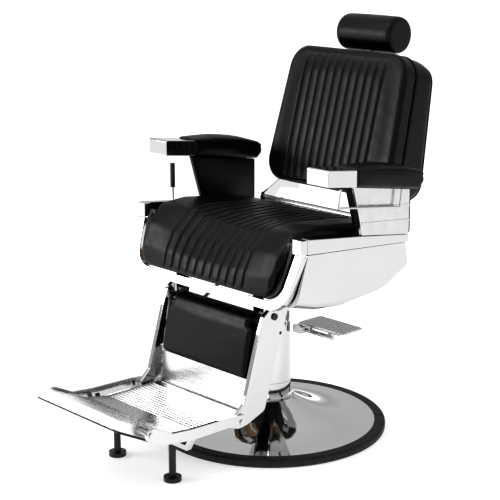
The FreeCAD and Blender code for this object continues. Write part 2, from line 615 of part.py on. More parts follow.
def make_lever():
    hub_face = "-lever_face - lever_thick"
    middle = "-lever_face - lever_thick / 2"
    at = ("lever_y", "lever_z")
    boss = cylinder("lever_boss_disc", "lever_hub", "lever_face - seat_half - lever_gap",
                    ("-lever_face + lever_gap", *at), "x")
    pin_start = f"{hub_face} - pin_proud"
    pin = cylinder("lever_boss_pin", "lever_pin", "lever_thick + 2 * pin_proud", (pin_start, *at), "x")
    keep(fuse("lever_boss", boss, pin))
    hub = cylinder("lever_hub_disc", "lever_hub", "lever_thick", (hub_face, *at), "x")
    rod = cylinder("lever_stem", "stem_radius", "lever_top + stem_in_grip - lever_z", (middle, *at))
    bore = cylinder("lever_bore", "lever_pin + running_gap", "lever_thick + 2 * pin_proud",
                    (pin_start, *at), "x")
    keep(cut("lever_rod", fuse("lever_solid", hub, rod), bore))
    grip = cylinder("grip_body", "grip_radius", "grip_length", (middle, "lever_y", "lever_top"))
    hollow = cylinder("grip_hollow", "stem_radius", "stem_in_grip", (middle, "lever_y", "lever_top"))
    keep(cut("lever_grip", grip, hollow))


# ---- Back and headrest ------------------------------------------------------------------------

def on_back(item):
    """Turns an item that was made upright at the back's pivot to the back's slope."""
    return place(item, ("0", "back_pivot_y", "back_pivot_z"), (ALONG_X, "-recline"))


def back_prism(label, start, deep):
    """The back's rounded front outline, padded rearwards, in the back's own frame."""
    body = doc.addObject("PartDesign::Body", label)
    points = [("-back_low_half", "back_low"), ("back_low_half", "back_low"), ("back_top_half", "back_high"),
              ("-back_top_half", "back_high")]
    sketch = closed_sketch(body, "XZ_Plane", points)
    bind(sketch, {"AttachmentOffset.Base.z": f"-({start})"})
    pad = body.newObject("PartDesign::Pad", label + "_pad")
    pad.Profile = sketch
    pad.Reversed = True
    bind(pad, {"Length": deep})
    for across, up in (("back_low_half", "back_low"), ("back_top_half", "back_high")):
        for side in (1, -1):
            round_edges(body, "back_round", corner_edge(side * amount(across), amount(up), (0, 2)))
    return body


def make_back():
    brackets = []
    levers = []
    plates = []
    pivot = ("back_pivot_y", "back_pivot_z")
    pin_inner = "link_x - link_eye_half - pin_proud"
    for name, side in BODY_SIDES:
        bracket_outer = "bracket_inner + bracket_thick"
        brackets.append(slab(f"back_bracket_{name}", "bracket", "bracket_inner", bracket_outer, side))
        plates.append(pivot_plate(name, side))
        lever_outer = "swing_lever_x + swing_lever_thick"
        levers.append(slab(f"swing_lever_{name}", "swing_lever", "swing_lever_x", lever_outer,
                           side))
        levers.append(cylinder(f"link_back_pin_{name}", "link_pin", f"swing_lever_x + 1 - ({pin_inner})",
                               (pin_inner if side > 0 else "-swing_lever_x - pin_into_lever",
                                *link_eye_at("back_pivot")), "x"))
    shaft = cylinder("back_shaft_rod", "shaft_radius", "2 * shaft_half", ("-shaft_half", *pivot), "x")
    bore = cylinder("bracket_bore", "shaft_radius", "2 * shaft_half", ("-shaft_half", *pivot), "x")
    keep(fuse("back_shaft", shaft, *levers))
    keep(cut("back_brackets", group("bracket_pair", brackets), bore))
    keep(group("pivot_plates", plates))
    keep(on_back(back_prism("back_cushion", "back_front", "cushion_thick")))
    keep(back_shell())
    keep(headrest_socket())


def pivot_plate(name, side):
    """An upright of the seat frame with the back's pivot bore."""
    plate = slab(f"pivot_upright_{name}", "pivot_plate", "plate_inner", "plate_inner + pivot_thick", side)
    foot_inner = "plate_inner" if side > 0 else "-(seat_half - panel_deep)"
    foot_wide = "seat_half - panel_deep - plate_inner"
    foot = box(f"pivot_foot_{name}", (foot_wide, "pivot_foot_long", "pivot_foot_thick"),
               (foot_inner, "pivot_foot_y", "pivot_foot_z"))
    start = "plate_inner" if side > 0 else "-plate_inner - pivot_thick"
    bore = cylinder(f"pivot_bore_{name}", "shaft_radius + running_gap", "pivot_thick",
                    (start, "back_pivot_y", "back_pivot_z"), "x")
    return cut(f"pivot_plate_{name}", fuse(f"pivot_solid_{name}", plate, foot), bore)


def back_shell():
    """The rear half of the back: wedge-shaped from the side, with a slot for the headrest post."""
    start = "back_front + cushion_thick + shell_gap"
    prism = back_prism("shell_prism", start, "shell_deep")
    wedge = doc.addObject("PartDesign::Body", "shell_wedge")
    points = [(start, "back_low"), (start, "back_high"), (f"{start} + shell_top", "back_high"),
              (f"{start} + shell_shoulder", "back_high - shoulder_drop"),
              (f"{start} + shell_foot", "back_low")]
    sketch = closed_sketch(wedge, "YZ_Plane", points)
    pad = wedge.newObject("PartDesign::Pad", "shell_wedge_pad")
    pad.Profile = sketch
    pad.Midplane = True
    bind(pad, {"Length": "2 * back_low_half"})
    round_edges(wedge, "shell_corner", corner_edge(amount(points[-1][0]), amount("back_low"), (1, 2)))
    slot = box("shell_slot", ("2 * slot_half", "slot_thick", "slot_deep"),
               ("-slot_half", "post_w - slot_thick / 2", "back_high - slot_deep"))
    return on_back(cut("back_shell", common("shell_solid", prism, wedge), slot))


def headrest_socket():
    """The guide plate at the mouth of the post's slot."""
    plate = box("socket_plate", ("2 * socket_half", "socket_deep", "socket_thick"),
                ("-socket_half", "post_w - socket_deep / 2", "back_high"))
    hole = box("socket_hole", ("2 * (post_half + socket_gap)", "post_thick + 2 * socket_gap", "socket_thick"),
               ("-post_half - socket_gap", "post_w - post_thick / 2 - socket_gap", "back_high"))
    return on_back(cut("headrest_socket", plate, hole))


def make_headrest():
    axle = ("roll_w", "roll_u")
    bar = box("post_bar", ("2 * post_half", "post_thick", "roll_u - post_low"),
              ("-post_half", "post_w - post_thick / 2", "post_low"))
    eye = cylinder("post_eye", "eye_radius", "2 * eye_half", ("-eye_half", *axle), "x")
    bore = cylinder("post_bore", "axle_radius + running_gap", "4 * eye_half", ("-2 * eye_half", *axle), "x")
    keep(on_back(cut("headrest_post", fuse("post_solid", bar, eye), bore)))
    rod = cylinder("axle_rod", "axle_radius", "2 * (roll_half - axle_inset)",
                   ("-roll_half + axle_inset", *axle), "x")
    keep(on_back(group("headrest_axle", [rod])))
    roll = cylinder("roll_body", "roll_radius", "2 * roll_half", ("-roll_half", *axle), "x")
    notch = box("roll_notch", ("2 * notch_half", "notch_front + notch_back", "notch_low + notch_top"),
                ("-notch_half", "roll_w - notch_front", "roll_u - notch_low"))
    core_end = "roll_half - axle_inset + axle_float"
    core = cylinder("roll_core", "axle_radius + running_gap", f"2 * ({core_end})",
                    (f"-({core_end})", *axle), "x")
    keep(on_back(cut("headrest_roll", roll, fuse("roll_hollow", core, notch))))


# ---- Link, leg rest, foot frame and flip plate ------------------------------------------------

def link_eye_at(pivot):
    """Where a link eye lies, from the pivot that it swings about."""
    return f"{pivot}_y + link_behind", f"{pivot}_z - link_down"


def make_link():
    """Two pull rods that carry the back's motion forward to the leg rest."""
    back, front = link_eye_at("back_pivot"), link_eye_at("leg_pivot")
    run, rise = (amount(f"({far}) - ({near})") for far, near in zip(back, front))
    rods = []
    for name, across in (("left", "link_x"), ("right", "-link_x")):
        stem = cylinder(f"link_stem_{name}", "link_radius", f"sqrt(({run})^2 + ({rise})^2)", (across, *front))
        stem.Placement.Rotation = FreeCAD.Rotation(FreeCAD.Vector(0, 0, 1), FreeCAD.Vector(0, run, rise))
        start = f"{across} - link_eye_half"
        eyes = [cylinder(f"link_eye_{end}_{name}", "link_eye", "2 * link_eye_half", (start, *at), "x")
                for end, at in (("back", back), ("front", front))]
        bores = [cylinder(f"link_bore_{end}_{name}", f"link_pin + {gap}", "4 * link_eye_half",
                          (f"{across} - 2 * link_eye_half", *at), "x")
                 for end, at, gap in (("back", back, "running_gap"), ("front", front, "link_free"))]
        solid = fuse(f"link_solid_{name}", stem, *eyes)
        rods.append(cut(f"link_rod_{name}", solid, fuse(f"link_bores_{name}", *bores)))
    keep(group("recline_links", rods))


def make_leg():
    pivot = ("leg_pivot_y", "leg_pivot_z")
    foot = ("foot_pivot_y", "foot_pivot_z")
    link = link_eye_at("leg_pivot")
    link_pin_inner = "link_x - link_eye_half - pin_proud"
    arms = []
    hangers = []
    pins = []
    foot_pins = []
    for name, side in BODY_SIDES:
        arm = soften(slab(f"leg_arm_solid_{name}", "leg_arm", "leg_inner", "leg_outer", side), "metal_edge")
        arm_start = "leg_inner" if side > 0 else "-leg_outer"
        wide = "leg_outer - leg_inner"
        bores = [cylinder(f"{bore}_{name}", radius, wide, (arm_start, *at), "x")
                 for bore, radius, at in (("leg_bore", "leg_pin", pivot), ("leg_foot_bore", "foot_pin", foot),
                                          ("leg_link_bore", "link_pin", link))]
        arms.append(cut(f"leg_arm_{name}", arm, fuse(f"leg_bores_{name}", *bores)))
        hanger = slab(f"hanger_solid_{name}", "hanger", "hang_inner", "hang_outer", side)
        hole = cylinder(f"hanger_bore_{name}", "leg_pin + running_gap", "hang_outer - hang_inner",
                        ("hang_inner" if side > 0 else "-hang_outer", *pivot), "x")
        hangers.append(cut(f"leg_hanger_{name}", hanger, hole))
        pin = cylinder(f"leg_pin_{name}", "leg_pin", "leg_outer - knob_inner + pin_end",
                       ("knob_inner" if side > 0 else "-leg_outer - pin_end", *pivot), "x")
        knob = cylinder(f"leg_knob_{name}", "knob_radius", "hang_inner - knob_inner - knob_gap",
                        ("knob_inner" if side > 0 else "-hang_inner + knob_gap", *pivot), "x")
        pins.append(fuse(f"leg_pivot_pin_{name}", pin, knob))
        pins.append(cylinder(f"link_front_pin_{name}", "link_pin", f"leg_outer - ({link_pin_inner})",
                             (link_pin_inner if side > 0 else "-leg_outer", *link), "x"))
        foot_pins.append(cylinder(f"foot_pin_{name}", "foot_pin", "foot_outer - leg_inner + pin_end",
                                  ("leg_inner" if side > 0 else "-foot_outer - pin_end", *foot), "x"))
    keep(group("leg_arms", arms))
    keep(group("leg_hangers", hangers))
    keep(group("leg_pins", pins))
    keep(group("foot_pins", foot_pins))
    keep(leg_pad())
    keep(wide_slab("leg_panel", "leg_panel", "leg_half"))
    board = wide_slab("leg_board_sheet", "leg_board", "leg_top_half - 1")
    tube = cylinder("leg_cross_tube", "leg_tube_radius", "2 * leg_inner",
                    ("-leg_inner", "leg_tube_y", "leg_tube_z"), "x")
    spacers = [box(f"leg_spacer_{index}", ("spacer_long", "spacer_deep", "spacer_tall"),
                   (start, "leg_tube_y - spacer_back", "leg_tube_z - spacer_tall / 2"))
               for index, start in enumerate(("-spacer_x - spacer_long", "spacer_x"))]
    keep(fuse("leg_frame", board, tube, *spacers))


def leg_pad():
    """The upholstered calf pad; its top corners are cut back for the pivot knobs."""
    body = wide_slab("leg_pad_solid", "leg_pad", "leg_half")
    cuts = []
    for name, start in (("left", "leg_top_half"), ("right", "-leg_half")):
        cuts.append(box(f"pad_corner_{name}", ("leg_half - leg_top_half", "corner_deep", "corner_tall"),
                        (start, "corner_front", "corner_low")))
    return cut("leg_pad", body, fuse("pad_corners", *cuts))


def make_foot():
    foot = ("foot_pivot_y", "foot_pivot_z")
    flip = ("flip_y", "flip_z")
    arms = []
    for name, side in BODY_SIDES:
        arm = slab(f"foot_arm_solid_{name}", "foot_arm", "foot_inner", "foot_outer", side)
        arm = soften(arm, "thin_edge")
        start = "foot_inner" if side > 0 else "-foot_outer"
        bores = []
        for bore, pin, at in (("foot_bore", "foot_pin", foot), ("flip_bore", "flip_pin", flip)):
            bores.append(cylinder(f"{bore}_{name}", f"{pin} + running_gap", "foot_outer - foot_inner",
                                  (start, *at), "x"))
        arms.append(cut(f"foot_arm_{name}", arm, fuse(f"foot_bores_{name}", *bores)))
    keep(group("foot_arms", arms))
    keep(kick_bar())
    post_base = "foot_high - post_sunk"
    post_tall = f"kick_bar_z - kick_radius + kick_flat - ({post_base})"
    posts = []
    feet = []
    for name, across in (("left", "kick_x"), ("right", "-kick_x")):
        posts.append(cylinder(f"kick_post_{name}", "post_radius", post_tall, (across, "kick_y", post_base)))
        disc = cylinder(f"kick_foot_disc_{name}", "foot_radius", "foot_high", (across, "kick_y", "0"))
        hole = cylinder(f"kick_foot_hole_{name}", "post_radius", "post_sunk", (across, "kick_y", post_base))
        feet.append(cut(f"kick_foot_{name}", disc, hole))
    keep(group("kick_posts", posts))
    keep(group("kick_feet", feet))


def kick_bar():
    """The flat bar under the plate: level in the middle, with both ends turned up to the arms."""
    body = doc.addObject("PartDesign::Body", "kick_bar")
    half = "kick_radius - kick_flat"
    points = [("-foot_inner", f"kick_end_z - {half}"), ("-kick_shoulder", f"kick_bar_z - ({half})"),
              ("kick_shoulder", f"kick_bar_z - ({half})"), ("foot_inner", f"kick_end_z - {half}"),
              ("foot_inner", "kick_end_z + kick_radius"),
              ("kick_shoulder - kick_bevel", f"kick_bar_z + {half}"),
              ("-kick_shoulder + kick_bevel", f"kick_bar_z + {half}"),
              ("-foot_inner", "kick_end_z + kick_radius")]
    sketch = closed_sketch(body, "XZ_Plane", points)
    bind(sketch, {"AttachmentOffset.Base.z": "-kick_y"})
    pad = body.newObject("PartDesign::Pad", "kick_bar_pad")
    pad.Profile = sketch
    pad.Midplane = True
    bind(pad, {"Length": "2 * kick_radius"})
    return body


def make_plate():
    """The flip-over foot plate: ribbed tread on one face, upholstered on the other."""
    deck = tread_deck()
    flanges = []
    pins = []
    for name, side in BODY_SIDES:
        flanges.append(slab(f"flange_solid_{name}", "side_flange", "plate_half - flange_wall", "plate_half",
                            side))
        pin_start = "plate_half" if side > 0 else "-foot_outer - pin_end"
        pins.append(cylinder(f"flip_pin_{name}", "flip_pin", "foot_outer - plate_half + pin_end",
                             (pin_start, "flip_y", "flip_z"), "x"))
    lip = wide_slab("lip_flange", "tip_flange", "plate_half - flange_wall")
    keep(fuse("foot_plate", deck, lip, *flanges))
    keep(group("flip_pins", pins))
    keep(wide_slab("plate_pad", "plate_pad", "pad_half"))


def tread_deck():
    body = wide_slab("tread_deck", "tread", "plate_half - flange_wall")
    start, end = "rib_first", "rib_first - rib_deep"
    sketch = closed_sketch(body, "XY_Plane", [("-rib_half", start), ("rib_half", start), ("rib_half", end),
                                              ("-rib_half", end)])
    bind(sketch, {"AttachmentOffset.Base.z": "rib_z"})
    rib = body.newObject("PartDesign::Pad", "tread_deck_rib")
    rib.Profile = sketch
    bind(rib, {"Length": "rib_tall"})
    repeat(body, rib, sketch, "V_Axis", f"rib_step * {PLATE_RIBS - 1}", PLATE_RIBS)
    body.Tip.Reversed = True
    return body


def check_and_write():
    """Stops on any failed object or bad shape, then writes each sub-part."""
    doc.recompute()
    failed = [item.Label for item in doc.Objects if "Invalid" in item.State or "Error" in item.State]
    if failed:
        raise RuntimeError(f"these objects failed: {failed}")
    for item in parts:
        if item.Shape.isNull() or not item.Shape.isValid() or not item.Shape.Solids:
            raise RuntimeError(f"{item.Label} has no valid solid")
    os.makedirs("parts", exist_ok=True)
    for item in parts:
        item.Shape.exportStep(f"parts/{item.Label}.step")
        print(item.Label, len(item.Shape.Solids), round(item.Shape.Volume / 1000, 1), "cm3")
    print(len(parts), "sub-parts")


make_base()
make_lift()
make_chassis()
make_arms()
make_pedal()
make_lever()
make_back()
make_headrest()
make_link()
make_leg()
make_foot()
make_plate()
check_and_write()
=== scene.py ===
import json
import math

import bmesh
import bpy
import numpy as np
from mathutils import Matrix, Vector


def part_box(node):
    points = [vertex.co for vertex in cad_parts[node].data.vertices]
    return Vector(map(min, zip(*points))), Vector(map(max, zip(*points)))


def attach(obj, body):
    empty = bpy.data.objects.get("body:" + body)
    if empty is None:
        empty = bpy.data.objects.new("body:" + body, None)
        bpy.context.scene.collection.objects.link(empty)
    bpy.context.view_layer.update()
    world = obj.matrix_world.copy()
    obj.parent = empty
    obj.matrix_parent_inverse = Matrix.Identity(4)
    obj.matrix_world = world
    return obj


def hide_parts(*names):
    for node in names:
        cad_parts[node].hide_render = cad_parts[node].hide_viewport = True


# Looks for the hydraulic barber chair. Outlines and named sizes are in millimetres, and MM turns them into
# metres. The chair faces -Y and the sitter's left is +X.

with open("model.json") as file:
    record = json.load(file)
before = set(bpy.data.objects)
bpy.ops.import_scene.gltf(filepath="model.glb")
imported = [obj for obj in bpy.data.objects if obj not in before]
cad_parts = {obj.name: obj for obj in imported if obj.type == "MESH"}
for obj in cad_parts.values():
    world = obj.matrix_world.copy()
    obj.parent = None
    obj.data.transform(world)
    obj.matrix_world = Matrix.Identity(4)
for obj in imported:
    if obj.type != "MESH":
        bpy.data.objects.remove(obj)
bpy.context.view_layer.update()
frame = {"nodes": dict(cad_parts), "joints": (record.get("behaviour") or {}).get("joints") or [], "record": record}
MM = 0.001
JOINTS = {joint["name"]: joint for joint in frame["joints"]}
SIDES = (("left", 1), ("right", -1))
TINY = 1e-9
QUARTER_TURN = math.pi / 2


# ---- Outlines ---------------------------------------------------------------------------------

OUTLINE_STEP = 6.0
ARC_SHARE = 0.49    # the most of a side that the arc at a corner may take


def rounded(corners, step=OUTLINE_STEP):
    """A closed outline in millimetres from corners (a, b, radius), with arcs at the corners."""
    points = []
    count = len(corners)
    for index, corner in enumerate(corners):
        here = np.array(corner[:2], float)
        before = np.array(corners[index - 1][:2], float) - here
        after = np.array(corners[(index + 1) % count][:2], float) - here
        first, second = before / np.linalg.norm(before), after / np.linalg.norm(after)
        turn = math.acos(np.clip(first @ second, -1, 1))
        room = ARC_SHARE * min(np.linalg.norm(before), np.linalg.norm(after))
        back = min(corner[2] / math.tan(turn / 2), room)
        radius = back * math.tan(turn / 2)
        middle = (first + second) / np.linalg.norm(first + second)
        centre = here + middle * radius / math.sin(turn / 2)
        start, end = here + first * back - centre, here + second * back - centre
        sweep = math.pi - turn
        for part in np.linspace(0, 1, max(3, int(radius * sweep / step) + 1)):
            arm = (math.sin((1 - part) * sweep) * start + math.sin(part * sweep) * end) / math.sin(sweep)
            points.append(centre + arm)
    return evenly(np.array(points), step, closed=True)


def evenly(points, step, closed=False):
    """The same line with points at an even spacing."""
    line = np.vstack([points, points[:1]]) if closed else np.array(points, float)
    lengths = np.concatenate([[0], np.cumsum(np.linalg.norm(np.diff(line, axis=0), axis=1))])
    keep = np.concatenate([[True], np.diff(lengths) > TINY])
    count = max(4, round(lengths[-1] / step))
    places = np.linspace(0, lengths[-1], count, endpoint=not closed)
    columns = [np.interp(places, lengths[keep], line[keep, axis]) for axis in range(line.shape[1])]
    return np.stack(columns, axis=1)


def outward(outline):
    """Unit normals that point out of a closed outline."""
    ahead, behind = np.roll(outline, -1, axis=0), np.roll(outline, 1, axis=0)
    along = ahead - behind
    normal = np.stack([along[:, 1], -along[:, 0]], axis=1)
    normal /= np.linalg.norm(normal, axis=1, keepdims=True)
    area = np.sum(outline[:, 0] * ahead[:, 1] - ahead[:, 0] * outline[:, 1])
    return normal if area > 0 else -normal


# ---- Meshes -----------------------------------------------------------------------------------

RIM_STEPS = 7


def shade_smooth(mesh):
    mesh.polygons.foreach_set("use_smooth", [True] * len(mesh.polygons))


def new_piece(name, vertices, faces, material, body):
    """A smooth-shaded mesh that rides on a body, with its faces turned outward."""
    mesh = bpy.data.meshes.new(name)
    mesh.from_pydata([tuple(vertex) for vertex in vertices], [], faces)
    mesh.validate()
    build = bmesh.new()
    build.from_mesh(mesh)
    bmesh.ops.recalc_face_normals(build, faces=build.faces)
    build.to_mesh(mesh)
    build.free()
    mesh.materials.append(material)
    shade_smooth(mesh)
    piece = bpy.data.objects.new(name, mesh)
    bpy.context.scene.collection.objects.link(piece)
    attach(piece, body)
    return piece


def block(name, outline, low, high, edges, spread, material, body):
    """A closed solid: an outline in millimetres, extruded from low to high with its two rims rounded.

    edges holds the rounding at the low and at the high rim, and spread turns (a, b, c) in millimetres
    into a point in metres.
    """
    normal = outward(outline)
    rings = []
    for level, edge, order in ((low, edges[0], 1), (high, edges[1], -1)):
        quarter = [(edge * (1 - math.sin(angle)), level + order * edge * (1 - math.cos(angle)))
                   for angle in np.linspace(0, QUARTER_TURN, RIM_STEPS)]
        rings.extend(quarter if order > 0 else quarter[::-1])
    points = [spread(*(place - inset * out), level)
              for inset, level in rings for place, out in zip(outline, normal)]
    count = len(outline)
    faces = [list(range(count))[::-1], [count * (len(rings) - 1) + index for index in range(count)]]
    faces += walls(len(rings), count)
    return new_piece(name, points, faces, material, body)


def walls(rings, count):
    """The four-sided faces between closed rings of count points each."""
    faces = []
    for ring in range(rings - 1):
        for index in range(count):
            after = (index + 1) % count
            faces.append([ring * count + index, ring * count + after, (ring + 1) * count + after,
                          (ring + 1) * count + index])
    return faces


def from_side(y, z, across):
    """A point in metres from an outline drawn in the side view."""
    return (across * MM, y * MM, z * MM)


def apply_modifiers(piece):
    """Makes the mesh as the modifiers leave it the piece's own."""
    shape = bpy.context.evaluated_depsgraph_get()
    mesh = bpy.data.meshes.new_from_object(piece.evaluated_get(shape))
    piece.modifiers.clear()
    piece.data = mesh


def remesh(piece, voxel):
    """Divides a piece evenly, so that a cover can swell and be sewn."""
    grid = piece.modifiers.new("voxels", "REMESH")
    grid.mode = "VOXEL"
    grid.voxel_size = voxel
    grid.use_smooth_shade = True
    apply_modifiers(piece)


def arrays(piece):
    """Vertex places and normals of a mesh, in metres."""
    mesh = piece.data
    places = np.zeros(len(mesh.vertices) * 3)
    mesh.vertices.foreach_get("co", places)
    normals = np.array([tuple(vertex.normal) for vertex in mesh.vertices])
    return places.reshape(-1, 3), normals


def set_places(piece, places):
    piece.data.vertices.foreach_set("co", np.asarray(places, float).ravel())
    piece.data.update()


COVER = {"quality": 4, "mass": 0.4, "tension_stiffness": 18, "compression_stiffness": 18,
         "shear_stiffness": 8, "bending_stiffness": 3, "use_pressure": True, "uniform_pressure_force": 4.0}
SWELL_FRAMES = 20
VOXEL = 5 * MM


def inflate(piece, limit, hold):
    """Lets the cover swell under pressure by at most limit; hold gives each place's share, from 0 to 1."""
    before, _ = arrays(piece)
    cover = piece.modifiers.new("cover", "CLOTH")
    for setting, value in COVER.items():
        setattr(cover.settings, setting, value)
    cover.settings.effector_weights.gravity = 0
    cover.collision_settings.use_collision = False
    for number in range(1, SWELL_FRAMES + 1):
        bpy.context.scene.frame_set(number)
    apply_modifiers(piece)
    bpy.context.scene.frame_set(1)
    after, _ = arrays(piece)
    moved = after - before
    far = np.linalg.norm(moved, axis=1, keepdims=True)
    moved *= np.minimum(1, limit * MM / np.maximum(far, TINY))
    set_places(piece, before + moved * hold(before)[:, None])


def refine(piece):
    """Divides every face once more, with a rounder surface."""
    finer = piece.modifiers.new("finer", "SUBSURF")
    finer.levels = 1
    finer.render_levels = 1
    apply_modifiers(piece)
    shade_smooth(piece.data)


def tube(name, path, radius, material, body, closed=False):
    """Round piping of a radius in millimetres, along a path of points in metres."""
    curve = bpy.data.curves.new(name, "CURVE")
    curve.dimensions = "3D"
    curve.bevel_depth = radius * MM
    curve.bevel_resolution = 3
    curve.use_fill_caps = True
    line = curve.splines.new("POLY")
    line.points.add(len(path) - 1)
    for point, place in zip(line.points, path):
        point.co = (*place, 1)
    line.use_cyclic_u = closed
    shape = bpy.data.objects.new(name + "_line", curve)
    mesh = bpy.data.meshes.new_from_object(shape)
    bpy.data.objects.remove(shape)
    mesh.materials.append(material)
    shade_smooth(mesh)
    piece = bpy.data.objects.new(name, mesh)
    bpy.context.scene.collection.objects.link(piece)
    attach(piece, body)
    return piece


def smoothstep(low, high, value):
    """0 up to low, 1 from high on, and a smooth rise between; high may be the lower one."""
    part = np.clip((value - low) / (high - low), 0, 1)
    return part * part * (3 - 2 * part)


# ---- Materials --------------------------------------------------------------------------------

TEXTURE_LOW, TEXTURE_HIGH = 0.3, 0.7    # the span of a noise texture's values that is put to use


def grey(tone):
    return (tone, tone, tone)


class Nodes:
    """A new material with its Principled shader and short ways to add the nodes that feed it."""

    def __init__(self, name):
        self.material = bpy.data.materials.new(name)
        self.material.use_nodes = True
        self.tree = self.material.node_tree
        self.shader = self.tree.nodes["Principled BSDF"]
        self.place = self.tree.nodes.new("ShaderNodeTexCoord").outputs["Object"]

    def link(self, output, target):
        self.tree.links.new(output, target)

    def scaled(self, scale):
        """The place, squeezed or stretched along each axis."""
        mapping = self.tree.nodes.new("ShaderNodeMapping")
        mapping.inputs["Scale"].default_value = scale
        self.link(self.place, mapping.inputs["Vector"])
        return mapping.outputs["Vector"]

    def noise(self, scale, detail, stretch=(1, 1, 1)):
        """Cloudy noise with about scale waves to the metre."""
        noise = self.tree.nodes.new("ShaderNodeTexNoise")
        noise.inputs["Scale"].default_value = scale
        noise.inputs["Detail"].default_value = detail
        self.link(self.scaled(stretch), noise.inputs["Vector"])
        return noise.outputs["Fac"]

    def cells(self, scale, feature):
        """Small cells, about scale to the metre."""
        cells = self.tree.nodes.new("ShaderNodeTexVoronoi")
        cells.feature = feature
        cells.inputs["Scale"].default_value = scale
        self.link(self.place, cells.inputs["Vector"])
        return cells.outputs["Distance"]

    def between(self, value, low, high, start=TEXTURE_LOW, end=TEXTURE_HIGH):
        """Maps a texture's value to a range of numbers."""
        spread = self.tree.nodes.new("ShaderNodeMapRange")
        for name, number in (("From Min", start), ("From Max", end), ("To Min", low), ("To Max", high)):
            spread.inputs[name].default_value = number
        self.link(value, spread.inputs["Value"])
        return spread.outputs["Result"]

    def on_top(self, value):
        """Keeps a texture's value on faces that look up, and gives 1 on the others."""
        split = self.tree.nodes.new("ShaderNodeSeparateXYZ")
        self.link(self.tree.nodes.new("ShaderNodeTexCoord").outputs["Normal"], split.inputs["Vector"])
        choose = self.tree.nodes.new("ShaderNodeMix")
        self.link(self.between(split.outputs["Z"], 0.0, 1.0, 0.55, 0.75), choose.inputs[0])
        choose.inputs[2].default_value = 1.0
        self.link(value, choose.inputs[3])
        return choose.outputs[0]

    def colours(self, value, first, second):
        """Base colours from first to second as the texture's value rises."""
        ramp = self.tree.nodes.new("ShaderNodeValToRGB")
        low, high = ramp.color_ramp.elements
        low.position, high.position = TEXTURE_LOW, TEXTURE_HIGH
        low.color, high.color = (*first, 1), (*second, 1)
        self.link(value, ramp.inputs["Fac"])
        self.link(ramp.outputs["Color"], self.shader.inputs["Base Color"])

    def bumps(self, *layers):
        """Stacks bump layers (height, strength, distance in metres) into the shader's normal."""
        normal = None
        for height, strength, distance in layers:
            bump = self.tree.nodes.new("ShaderNodeBump")
            bump.inputs["Strength"].default_value = strength
            bump.inputs["Distance"].default_value = distance
            self.link(height, bump.inputs["Height"])
            if normal:
                self.link(normal, bump.inputs["Normal"])
            normal = bump.outputs["Normal"]
        self.link(normal, self.shader.inputs["Normal"])

    def roughness(self, value, low, high):
        self.link(self.between(value, low, high), self.shader.inputs["Roughness"])

    def fixed(self, **values):
        for name, number in values.items():
            self.shader.inputs[name.replace("_", " ")].default_value = number


def polished(name, tone, dull, shine):
    """Plated metal: a mirror with faint polishing waves and fingerprints."""
    nodes = Nodes(name)
    nodes.fixed(Metallic=1.0)
    nodes.colours(nodes.noise(9.0, 3.0), grey(tone * 0.97), grey(tone))
    nodes.roughness(nodes.noise(24.0, 6.0), shine, dull)
    nodes.bumps((nodes.noise(14.0, 1.0), 0.05, 0.002), (nodes.noise(900.0, 2.0), 0.02, 0.0002))
    return nodes.material


def brushed(name, tone, stretch, low, high):
    """Metal with fine lines along one direction."""
    nodes = Nodes(name)
    nodes.fixed(Metallic=1.0)
    lines = nodes.noise(260.0, 4.0, stretch)
    nodes.colours(lines, grey(tone * 0.86), grey(tone))
    nodes.roughness(lines, low, high)
    nodes.bumps((lines, 0.03, 0.0003), (nodes.noise(12.0, 2.0), 0.02, 0.002))
    return nodes.material


WAVE_TURNS = 20    # a wave texture of scale 1 turns this many radians in a metre
RIB_PITCH = 12


def ribbed(name, tone):
    """Bright pressed plate whose low ribs run across it, with painted shade darkening the gaps between them."""
    nodes = Nodes(name)
    nodes.fixed(Metallic=1.0)
    waves = nodes.tree.nodes.new("ShaderNodeTexWave")
    waves.bands_direction = "Y"
    waves.inputs["Scale"].default_value = 2 * math.pi / (WAVE_TURNS * RIB_PITCH * MM)
    waves.inputs["Distortion"].default_value = 0.2
    nodes.link(nodes.place, waves.inputs["Vector"])
    ribs = nodes.on_top(waves.outputs["Fac"])
    # painted shade: the base colour falls to 0.55 of the tone in the gaps between the ribs on the plate's top
    nodes.colours(ribs, grey(tone * 0.55), grey(tone))
    nodes.roughness(nodes.noise(60.0, 4.0), 0.2, 0.3)
    nodes.bumps((ribs, 0.25, 0.001), (nodes.noise(30.0, 2.0), 0.03, 0.001))
    return nodes.material


def cast(name, tone):
    """Silver casting: soft shine and a fine pebbled skin."""
    nodes = Nodes(name)
    nodes.fixed(Metallic=1.0)
    nodes.colours(nodes.noise(30.0, 5.0), grey(tone * 0.9), grey(tone))
    nodes.roughness(nodes.noise(60.0, 5.0), 0.16, 0.3)
    nodes.bumps((nodes.noise(420.0, 3.0), 0.10, 0.0004), (nodes.noise(25.0, 2.0), 0.05, 0.002))
    return nodes.material


def vinyl(name, tone=0.0016, low=0.30, high=0.42):
    """Black upholstery vinyl: pressed leather grain, fine pores and a soft sheen."""
    nodes = Nodes(name)
    grain = nodes.cells(620.0, "DISTANCE_TO_EDGE")
    pores = nodes.noise(1500.0, 2.0)
    nodes.colours(nodes.noise(11.0, 5.0), grey(tone), (tone * 1.9, tone * 1.9, tone * 2.0))
    nodes.roughness(nodes.noise(45.0, 6.0), low, high)
    nodes.fixed(Specular_IOR_Level=0.28)
    nodes.bumps((grain, 0.22, 0.0006), (pores, 0.12, 0.0003), (nodes.noise(26.0, 3.0), 0.10, 0.003))
    return nodes.material


def paint(name, tone):
    """Sprayed black paint with a slight orange peel."""
    nodes = Nodes(name)
    nodes.colours(nodes.noise(40.0, 5.0), grey(tone), grey(tone * 1.6))
    nodes.roughness(nodes.noise(70.0, 4.0), 0.28, 0.42)
    nodes.bumps((nodes.noise(320.0, 2.0), 0.08, 0.0004))
    return nodes.material


